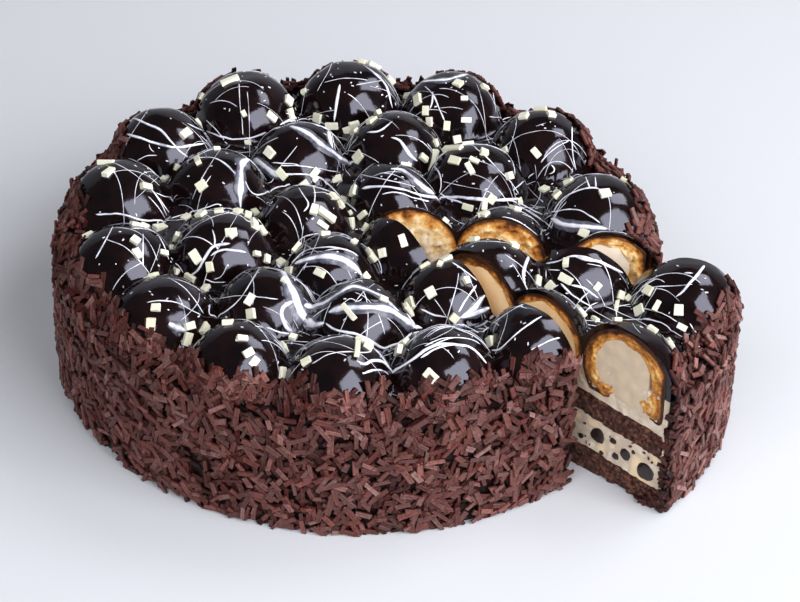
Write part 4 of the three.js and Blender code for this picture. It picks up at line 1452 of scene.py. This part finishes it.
# %% Courses of the drizzle
CAKE_THREADS = [
    (1.6, [(126, 134), (150, 142), (173, 148), (192, 146), (205, 144)]),
    (1.4, [(121, 122), (134, 119), (146, 124), (160, 130), (170, 141), (181, 153), (189, 158), (198, 158),
           (213, 158), (225, 164), (236, 175)]),
    (2.5, [(241, 213), (240, 198), (241, 179), (242, 164), (248, 160), (258, 162), (267, 169), (277, 176),
           (285, 175)]),
    (1.2, [(244, 179), (250, 192), (258, 196), (267, 193), (279, 187), (299, 186)]),
    (1.4, [(186, 123), (198, 129), (213, 135), (228, 140), (244, 140), (259, 137), (274, 129), (287, 122),
           (300, 117)]),
    (0.8, [(205, 120), (215, 130), (222, 138), (228, 145)]),
    (0.6, [(239, 83), (240, 106), (242, 121), (243, 138)]),
    (0.8, [(209, 104), (219, 101), (230, 103), (238, 108)]),
    (0.7, [(149, 143), (150, 150), (155, 154)]),
    (0.6, [(135, 162), (147, 157), (158, 156)]),
    (0.7, [(152, 190), (161, 202), (170, 215)]),
    (0.6, [(155, 193), (167, 198), (179, 196)]),
    (1.2, [(95, 216), (111, 215), (126, 216), (140, 221), (158, 222), (167, 222)]),
    (1.0, [(170, 219), (183, 215), (195, 212), (207, 209), (216, 205), (223, 207)]),
    (1.0, [(213, 210), (228, 213), (241, 216), (248, 222), (259, 222)]),
    (0.8, [(271, 163), (282, 164), (300, 166)]),
    (0.6, [(261, 158), (268, 167), (277, 173)]),
    (1.6, [(340, 84), (337, 101), (334, 123)]),
    (0.6, [(323, 83), (341, 79), (357, 79), (369, 81)]),
    (1.6, [(363, 65), (375, 74), (386, 86), (390, 100), (393, 112)]),
    (0.6, [(355, 86), (370, 83), (384, 81)]),
    (2.0, [(416, 84), (430, 81), (448, 80), (461, 76), (470, 74)]),
    (1.2, [(424, 86), (433, 95), (439, 109), (445, 123)]),
    (1.4, [(433, 91), (432, 104), (429, 110)]),
    (0.7, [(438, 109), (451, 108), (464, 110)]),
    (0.9, [(476, 75), (490, 84), (494, 100), (496, 115)]),
    (2.2, [(289, 126), (305, 132), (320, 144), (332, 152), (344, 161), (355, 163)]),
    (2.6, [(328, 129), (330, 140), (333, 150)]),
    (0.8, [(280, 166), (303, 167), (326, 171), (341, 174)]),
    (1.0, [(289, 123), (303, 119), (315, 121), (326, 126), (340, 130)]),
    (0.7, [(331, 130), (334, 144), (337, 159), (341, 170)]),
    (1.8, [(390, 138), (399, 140), (404, 147), (410, 156), (418, 163)]),
    (1.4, [(393, 121), (386, 127), (378, 132), (366, 133)]),
    (2.8, [(390, 169), (401, 170), (410, 176), (422, 187), (435, 195)]),
    (1.6, [(361, 189), (380, 187), (403, 190), (418, 195), (435, 198), (456, 198), (479, 200), (494, 201),
           (520, 200)]),
    (1.2, [(433, 166), (440, 175), (441, 187), (439, 195)]),
    (0.7, [(360, 175), (380, 179), (403, 184), (425, 190)]),
    (1.2, [(381, 195), (396, 193), (412, 198), (430, 202)]),
    (1.2, [(439, 193), (448, 199), (464, 205)]),
    (1.0, [(474, 147), (487, 158), (497, 169), (510, 182), (519, 195)]),
    (0.5, [(442, 182), (464, 187), (479, 190), (494, 195)]),
    (1.2, [(280, 176), (300, 175), (318, 178), (331, 187), (341, 198), (357, 213)]),
    (1.0, [(311, 181), (315, 193), (314, 205)]),
    (0.9, [(298, 187), (305, 198), (309, 205), (303, 213)]),
    (0.6, [(312, 193), (326, 193), (337, 201)]),
    (1.0, [(572, 126), (572, 143), (573, 158), (576, 172)]),
    (0.9, [(540, 164), (550, 153), (563, 144), (570, 141)]),
    (0.5, [(559, 138), (567, 152), (575, 170)]),
    (0.6, [(535, 127), (547, 123)]),
    (0.9, [(512, 192), (523, 183), (535, 173)]),
    (1.4, [(550, 166), (555, 169), (553, 175), (548, 176)]),
    (1.4, [(553, 213), (563, 199), (578, 191), (593, 188), (601, 190)]),
    (0.9, [(550, 213), (570, 210), (584, 213), (601, 225)]),
    (2.0, [(550, 219), (563, 225), (578, 227), (593, 228), (608, 230)]),
    (1.0, [(585, 176), (590, 189)]),
    (1.0, [(595, 176), (596, 189)]),
    (1.2, [(491, 202), (514, 202), (526, 207), (538, 213), (549, 215)]),
    (0.7, [(514, 205), (532, 213), (544, 222), (552, 230)]),
    (0.8, [(501, 219), (514, 222), (526, 230), (538, 239)]),
    (0.8, [(547, 212), (550, 202), (561, 192)]),
    (0.9, [(488, 117), (501, 119), (512, 117)]),
    (0.9, [(115, 223), (106, 240), (95, 260)]),
    (0.8, [(143, 233), (143, 251), (143, 268)]),
    (1.0, [(156, 232), (164, 246), (169, 261)]),
    (0.8, [(170, 257), (178, 266), (184, 274)]),
    (1.6, [(186, 280), (198, 271), (204, 260), (212, 248), (222, 245), (231, 244)]),
    (1.6, [(210, 257), (221, 251), (233, 251), (247, 253)]),
    (0.9, [(212, 229), (215, 240), (214, 248)]),
    (0.9, [(167, 277), (183, 287), (193, 298), (204, 315)]),
    (0.9, [(146, 303), (160, 301), (176, 303), (190, 310), (202, 316)]),
    (1.1, [(210, 304), (209, 315), (218, 316), (230, 309), (241, 298), (250, 284), (261, 266)]),
    (0.6, [(209, 294), (213, 301), (225, 298), (241, 296), (256, 297), (279, 300)]),
    (0.6, [(204, 280), (215, 284), (227, 283)]),
    (0.6, [(228, 264), (222, 277), (213, 281)]),
    (0.9, [(254, 326), (267, 329), (280, 334), (296, 335)]),
    (3.5, [(276, 261), (288, 283), (294, 295), (297, 304), (302, 315), (310, 323), (316, 326), (325, 323)]),
    (1.8, [(296, 300), (285, 306), (281, 313), (284, 323), (288, 330), (293, 333)]),
    (2.2, [(302, 306), (314, 306), (325, 303), (337, 295), (351, 287), (360, 288), (372, 292), (383, 298),
           (392, 306), (400, 313)]),
    (2.6, [(328, 313), (340, 309), (357, 308), (375, 308), (391, 311), (403, 319), (414, 326), (424, 329)]),
    (1.6, [(325, 323), (334, 330), (346, 333), (360, 336), (371, 342), (382, 349), (392, 347), (403, 341),
           (414, 332)]),
    (1.6, [(406, 313), (414, 324), (426, 330)]),
    (1.2, [(291, 264), (304, 252), (319, 248), (334, 248), (348, 251), (359, 257)]),
    (2.2, [(294, 264), (310, 259), (328, 257), (343, 260), (356, 269), (363, 278)]),
    (0.9, [(291, 251), (304, 238), (322, 234), (340, 236), (357, 242), (371, 252), (380, 264), (382, 277)]),
    (1.2, [(420, 310), (429, 314), (447, 319)]),
    (0.6, [(340, 307), (351, 298), (357, 303), (363, 298)]),
    (0.9, [(311, 365), (328, 355), (346, 352), (363, 353), (372, 352)]),
    (1.8, [(356, 361), (365, 365), (372, 361), (383, 362), (392, 371), (402, 367), (414, 359), (428, 349),
           (444, 344), (470, 347)]),
    (1.4, [(362, 375), (371, 371), (383, 371), (389, 376)]),
    (1.2, [(426, 338), (438, 330), (452, 327), (470, 328)]),
    (1.0, [(424, 347), (441, 339), (457, 338), (470, 339)]),
    (1.0, [(379, 353), (385, 361), (391, 370)]),
    (1.2, [(451, 262), (466, 272), (477, 281), (487, 288)]),
    (1.2, [(458, 314), (466, 300), (477, 285)]),
    (2.2, [(461, 318), (473, 310), (480, 301), (489, 292)]),
    (2.4, [(459, 319), (472, 315), (484, 311), (496, 305), (506, 301)]),
    (1.2, [(482, 333), (494, 323), (505, 315), (516, 308), (527, 303)]),
    (1.1, [(489, 350), (498, 351), (507, 343), (519, 332), (533, 322), (543, 316)]),
    (1.0, [(530, 351), (542, 345), (552, 340), (561, 338)]),
    (1.2, [(561, 328), (566, 334), (570, 341)]),
    (0.9, [(422, 340), (434, 330), (449, 326), (466, 327), (480, 334)]),
    (5.5, [(168, 324), (174, 327), (180, 329), (187, 332)]),
    (1.1, [(420, 354), (434, 345), (449, 339), (460, 338), (472, 340), (481, 345)]),
    (1.6, [(420, 359), (432, 351), (445, 346), (459, 345), (471, 348), (480, 356), (489, 367)]),
]
SLICE_THREADS = [
    (1.8, [(530, 255), (525, 266), (523, 278), (526, 285)]),
    (0.8, [(465, 247), (477, 242), (498, 242), (518, 246), (531, 253), (544, 261)]),
    (1.0, [(546, 269), (546, 280)]),
    (0.9, [(547, 270), (561, 271)]),
    (1.6, [(545, 264), (558, 262), (569, 257), (583, 257), (600, 263)]),
    (1.2, [(560, 284), (569, 293), (581, 302), (595, 310)]),
    (1.2, [(573, 310), (581, 300), (590, 292)]),
    (1.0, [(560, 295), (570, 294)]),
    (1.4, [(570, 286), (580, 288), (590, 293), (599, 300)]),
    (1.2, [(583, 315), (590, 307), (599, 303)]),
    (1.6, [(705, 265), (696, 277), (689, 284), (683, 292), (675, 298)]),
    (1.2, [(683, 273), (694, 274)]),
    (1.0, [(624, 320), (645, 320), (662, 324), (675, 333), (687, 340), (701, 348)]),
    (0.9, [(630, 309), (647, 310), (666, 316), (678, 324)]),
    (1.2, [(638, 292), (647, 284), (657, 279)]),
    (1.0, [(689, 324), (696, 334), (700, 345)]),
    (1.2, [(682, 357), (689, 345), (701, 348)]),
    (1.8, [(575, 257), (586, 260), (599, 262), (610, 267), (624, 274)]),
    (0.6, [(586, 264), (603, 267)]),
]
print("threads read from the picture:", len(CAKE_THREADS) + len(SLICE_THREADS))

# %% Courses on the glaze
PIXEL_STEP, WIDEST_STEP = 1.5, 5.0
COURSE_PARTS, STEADY_REACH, FEWEST_STEPS = 16, 2, 4


def even_steps(line, step):
    """A line's points at even steps along it."""
    length = np.concatenate([[0], np.cumsum(np.linalg.norm(np.diff(line, axis=0), axis=1))])
    even = np.linspace(0, length[-1], max(int(length[-1] / step), FEWEST_STEPS))
    return np.column_stack([np.interp(even, length, column) for column in line.T])


def smooth_course(stops):
    """Cubic pieces through stops, with the slope at each stop taken from its neighbours."""
    slopes = np.gradient(stops, axis=0)
    place = np.linspace(0, len(stops) - 1, COURSE_PARTS * (len(stops) - 1) + 1)
    before = np.minimum(place.astype(int), len(stops) - 2)
    f = (place - before)[:, None]
    start, end = stops[before], stops[before + 1]
    blend = f * f * (3 - 2 * f)
    bend = f * (1 - f) * ((1 - f) * slopes[before] - f * slopes[before + 1])
    return start + blend * (end - start) + bend


def steadied(line):
    """Running mean of a line over a few points to either side."""
    padded = np.pad(line, ((STEADY_REACH, STEADY_REACH), (0, 0)), mode="edge")
    return np.mean([padded[i:i + len(line)] for i in range(2 * STEADY_REACH + 1)], axis=0)


def seen_courses(pixels, in_slice):
    """Courses in plan under a smooth line in the picture, parted where the glaze hides the way."""
    line = even_steps(smooth_course(np.array(pixels, float)), PIXEL_STEP)
    places, met = land(line, in_slice)
    parted = (np.linalg.norm(np.diff(places, axis=0), axis=1) > WIDEST_STEP) | ~met[1:] | ~met[:-1]
    breaks = np.nonzero(parted)[0] + 1
    runs = zip(np.split(places[:, :2], breaks), np.split(met, breaks))
    return [steadied(run) for run, seen in runs if seen.all() and len(run) > 2]


print("courses of the first thread:", len(seen_courses(CAKE_THREADS[0][1], False)))

# %% Threads along their courses
THREAD_STEP = 0.9
THREAD_RISE, THREAD_SINK, THREAD_SKIN = 0.2, 0.3, 0.06
END_LENGTH, END_WIDTH = 1.6, 0.03
SWELL, SWELL_SIZE = 0.45, 4.5
FULL_COVER, FADES = 0.95, ((0.35, 7.0), (0.2, 2.5))
THIN_SHARE, WIDE_SHARE, SHARE_WIDTHS = 0.6, 1.0, (1.2, 2.4)
SMEAR_FROM, SMEAR_WIDTH, SMEAR_COVER = 1.9, 2.3, 0.42

# The section is an arch of six corners, from edge to edge, and two more below the glaze
ARCH = np.linspace(0, math.pi, 6)
SECTION_ACROSS = np.concatenate([0.5 * np.cos(ARCH), [-0.35, 0.35]])
SECTION_RISE = np.concatenate([np.sin(ARCH), np.zeros(2)])
SECTION_SINK = np.concatenate([np.zeros(6), np.ones(2)])
SECTION_COVER = np.concatenate([0.32 + 0.68 * np.sin(ARCH), np.full(2, 0.3)])


def thread_part(plan, width, in_slice, cover=1.0):
    """A low arch carried along a course and laid on the glaze point by point, thin at both ends.

    cover is how white its middle is: a full thread hides the glaze, a smear lets it show through.
    """
    course = np.column_stack([plan, glaze_height(*plan.T, in_slice)])
    course = even_steps(course, THREAD_STEP)
    ahead = np.gradient(course, axis=0)
    aside = np.cross(glaze_normal(course[:, 0], course[:, 1], in_slice), ahead)
    aside /= np.linalg.norm(aside, axis=1, keepdims=True)
    run = THREAD_STEP * np.arange(len(course))
    ends = np.sqrt(np.clip(np.minimum(run, run[::-1]) / (END_LENGTH * width), END_WIDTH, 1))
    wide = (width * ends * (1 + SWELL * noise(course, SWELL_SIZE)))[:, None]
    spots = course[:, None, :2] + (wide * SECTION_ACROSS)[..., None] * aside[:, None, :2]
    x, y = spots[..., 0], spots[..., 1]
    lift = SECTION_RISE * (THREAD_RISE * cover ** 2 * wide + THREAD_SKIN) - SECTION_SINK * THREAD_SINK
    points = np.stack([x, y, glaze_height(x, y, in_slice)], axis=-1)
    points = points + lift[..., None] * glaze_normal(x, y, in_slice)
    fading = sum(depth * noise(course + 40, size) for depth, size in FADES)
    tone = cover * SECTION_COVER * (FULL_COVER + fading)[:, None]
    return points.reshape(-1, 3), tube_blocks(*x.shape), {"tone": tone.ravel()}


def drizzle_parts(threads, in_slice):
    """Threads from pixels, and a smear under each wide one."""
    parts = []
    for width, pixels in threads:
        share = THIN_SHARE + (WIDE_SHARE - THIN_SHARE) * ease(width, *SHARE_WIDTHS)
        for course in seen_courses(pixels, in_slice):
            parts.append(thread_part(course, share * width, in_slice))
            if width > SMEAR_FROM:
                parts.append(thread_part(course, SMEAR_WIDTH * width, in_slice, SMEAR_COVER))
    return parts


print("corners of a thread's section:", len(SECTION_ACROSS))

# %% Loose threads and specks
THREAD_REACH, STRAY_FACING = 108.0, 0.35
LOOSE_STOPS, LOOSE_STEP, LOOSE_COVER = 8, (2.0, 5.0), 0.9
LOOSE_TURN, LOOSE_BEND = 0.8, (-1.2, 1.2)
BOLD_WIDTH, HAIR_WIDTH = (0.5, 1.2), (0.22, 0.4)
SPECK_SIZES, SPECK_TONE = ((0.4, 1.3), (0.3, 0.6), (0.2, 0.3)), (0.6, 1.0)


def loose_threads(count, in_slice, draw, widths, hidden):
    """Threads at random: from a place a gentle bend runs on in a direction.

    Hidden ones face away from the camera.
    """
    span = SPANS[in_slice]
    parts = []
    while len(parts) < count:
        bend = np.linspace(0, 1, LOOSE_STOPS)
        heading = draw.normal(0, LOOSE_TURN) + draw.uniform(*LOOSE_BEND) * bend
        steps = draw.uniform(*LOOSE_STEP) * np.stack([np.cos(heading), np.sin(heading)], axis=-1)
        azimuth = math.radians(draw.uniform(*span))
        reach = LAYER_RADIUS * math.sqrt(draw.random())
        stops = reach * np.array([math.cos(azimuth), math.sin(azimuth)]) + np.cumsum(steps, axis=0)
        inside = in_sector(stops[:, 0], stops[:, 1], span) & (np.hypot(*stops.T) < THREAD_REACH)
        away = glaze_normal(stops[:, 0], stops[:, 1], in_slice) @ -FORWARD < STRAY_FACING
        if inside.all() and (away.all() or not hidden):
            parts.append(thread_part(smooth_course(stops), draw.uniform(*widths), in_slice, LOOSE_COVER))
    return parts


def strewn_places(count, in_slice, draw):
    """Random places in plan, even over the sector: the distance is the root of a random share."""
    azimuth = np.radians(draw.uniform(*SPANS[in_slice], count))
    reach = THREAD_REACH * np.sqrt(draw.random(count))
    return reach * np.cos(azimuth), reach * np.sin(azimuth)


def speck_part(count, in_slice, draw):
    """Small splashes: tiny bars lying on the glaze."""
    x, y = strewn_places(count, in_slice, draw)
    normals = glaze_normal(x, y, in_slice)
    sizes = np.column_stack([draw.uniform(*limits, count) for limits in SPECK_SIZES])
    centres = np.stack([x, y, glaze_height(x, y, in_slice)], axis=-1)
    return bars(centres, normals, sizes, draw.uniform(*SPECK_TONE, count), 0.0, draw)


for name, threads, in_slice, counts, node, seed in (
    ("white_drizzle", CAKE_THREADS, False, (50, 140, 420), "glaze", 21),
    ("slice_white_drizzle", SLICE_THREADS, True, (5, 20, 60), "slice_glaze", 22),
):
    hidden_count, hair_count, speck_count = counts
    draw = np.random.default_rng(seed)
    parts = drizzle_parts(threads, in_slice)
    parts += loose_threads(hidden_count, in_slice, draw, BOLD_WIDTH, True)
    parts += loose_threads(hair_count, in_slice, draw, HAIR_WIDTH, False)
    parts.append(speck_part(speck_count, in_slice, draw))
    add_piece(name, parts, DRIZZLE, [node], in_slice, SHARP_CUT)

# %% [markdown]
# ## White chocolate blocks
# Chopped white chocolate is strewn over the drizzle. Each block could be a cube of its own, but a block is a
# bar like a flake, only thicker and straight, so the same function makes them all. A small bevel takes the
# knife's edge off. Their places too are read from the picture, with a random few on the sides that it doesn't
# show.

# %% Places of the blocks
CAKE_BLOCKS = [
    (244, 114), (202, 97), (288, 101), (271, 117), (290, 114), (185, 134), (248, 143), (270, 153),
    (198, 161), (176, 167), (202, 186), (146, 187), (109, 173), (282, 174), (144, 225), (160, 228),
    (186, 218), (201, 215), (219, 212), (254, 225), (231, 233), (255, 213), (164, 180), (458, 84),
    (484, 88), (464, 99), (466, 120), (407, 97), (418, 100), (426, 111), (430, 122), (447, 126),
    (435, 143), (457, 139), (423, 158), (455, 161), (474, 161), (470, 169), (468, 144), (484, 153),
    (504, 152), (509, 176), (359, 157), (347, 130), (354, 126), (318, 118), (332, 126), (372, 121),
    (378, 114), (305, 92), (354, 191), (304, 184), (314, 173), (315, 179), (337, 180), (340, 205),
    (343, 201), (314, 210), (363, 215), (468, 207), (484, 205), (486, 215), (491, 199), (524, 117),
    (551, 115), (536, 153), (569, 182), (544, 190), (605, 194), (520, 202), (584, 233), (135, 241),
    (137, 254), (163, 253), (172, 250), (196, 257), (210, 267), (232, 235), (176, 271), (190, 279),
    (205, 289), (256, 254), (266, 259), (281, 263), (290, 271), (284, 281), (250, 300), (251, 314),
    (228, 323), (156, 308), (151, 324), (189, 326), (204, 329), (187, 339), (242, 339), (248, 353),
    (254, 362), (282, 373), (403, 241), (383, 253), (425, 266), (366, 228), (322, 225), (351, 224),
    (320, 273), (365, 277), (431, 293), (383, 300), (411, 304), (408, 310), (454, 318), (307, 362),
    (293, 338), (431, 376), (466, 281), (440, 265), (491, 342),
]
CAKE_LONG_BLOCKS = [(230, 81), (106, 163), (453, 149), (433, 161), (326, 215), (349, 312), (357, 349)]
SLICE_BLOCKS = [
    (537, 281), (551, 286), (566, 263), (566, 279), (597, 287), (620, 295), (628, 299), (649, 291),
    (640, 310), (657, 306), (679, 310), (682, 327), (595, 320),
]
SLICE_LONG_BLOCKS = [(630, 281), (617, 305)]
ALL_BLOCKS = CAKE_BLOCKS + CAKE_LONG_BLOCKS + SLICE_BLOCKS + SLICE_LONG_BLOCKS
print("blocks read from the picture:", len(ALL_BLOCKS))

# %% Blocks
BLOCK_SIZE, LONG_BLOCK_SIZE = (4.1, 3.2, 2.0), (8.0, 2.6, 2.0)
BLOCK_SPREAD, SPREAD_LIMITS = np.array([0.22, 0.22, 0.08]), (-1.5, 1.5)
BLOCK_SINK, BLOCK_LEAN, BLOCK_TONE = 0.35, 0.13, (0.1, 0.75)
BLOCK_BEVEL, BEVEL_STEPS = 0.22, 2
HIDDEN_TRIES = 20


def hidden_places(count, in_slice, draw):
    """Random places on the glaze that face away from the camera."""
    x, y = strewn_places(HIDDEN_TRIES * count, in_slice, draw)
    away = np.nonzero(glaze_normal(x, y, in_slice) @ -FORWARD < STRAY_FACING)[0][:count]
    return np.stack([x, y, glaze_height(x, y, in_slice)], axis=-1)[away]


def block_part(short, long, in_slice, extra, seed):
    """Blocks on the glaze: bars of the block's size with a random turn, sunk a little."""
    draw = np.random.default_rng(seed)
    near, far = [places[met] for places, met in (land(short, in_slice), land(long, in_slice))]
    hidden = hidden_places(extra, in_slice, draw)
    centres = np.concatenate([near, far, hidden])
    sizes = np.array([BLOCK_SIZE] * len(near) + [LONG_BLOCK_SIZE] * len(far) + [BLOCK_SIZE] * len(hidden))
    sizes = sizes * (1 + BLOCK_SPREAD * draw.standard_normal(sizes.shape).clip(*SPREAD_LIMITS))
    normals = glaze_normal(centres[:, 0], centres[:, 1], in_slice)
    centres = centres + (0.5 - BLOCK_SINK) * sizes[:, 2:] * normals
    tone = draw.uniform(*BLOCK_TONE, len(centres))
    return bars(centres, normals, sizes, tone, BLOCK_LEAN, draw)


for name, short, long, in_slice, extra, node, seed in (
    ("white_blocks", CAKE_BLOCKS, CAKE_LONG_BLOCKS, False, 45, "glaze", 31),
    ("slice_white_blocks", SLICE_BLOCKS, SLICE_LONG_BLOCKS, True, 6, "slice_glaze", 32),
):
    chopped = block_part(short, long, in_slice, extra, seed)
    blocks = add_piece(name, [chopped], IVORY, [node], in_slice)
    bevel = blocks.modifiers.new("knife_edge", "BEVEL")
    bevel.width = BLOCK_BEVEL * MM
    bevel.segments = BEVEL_STEPS
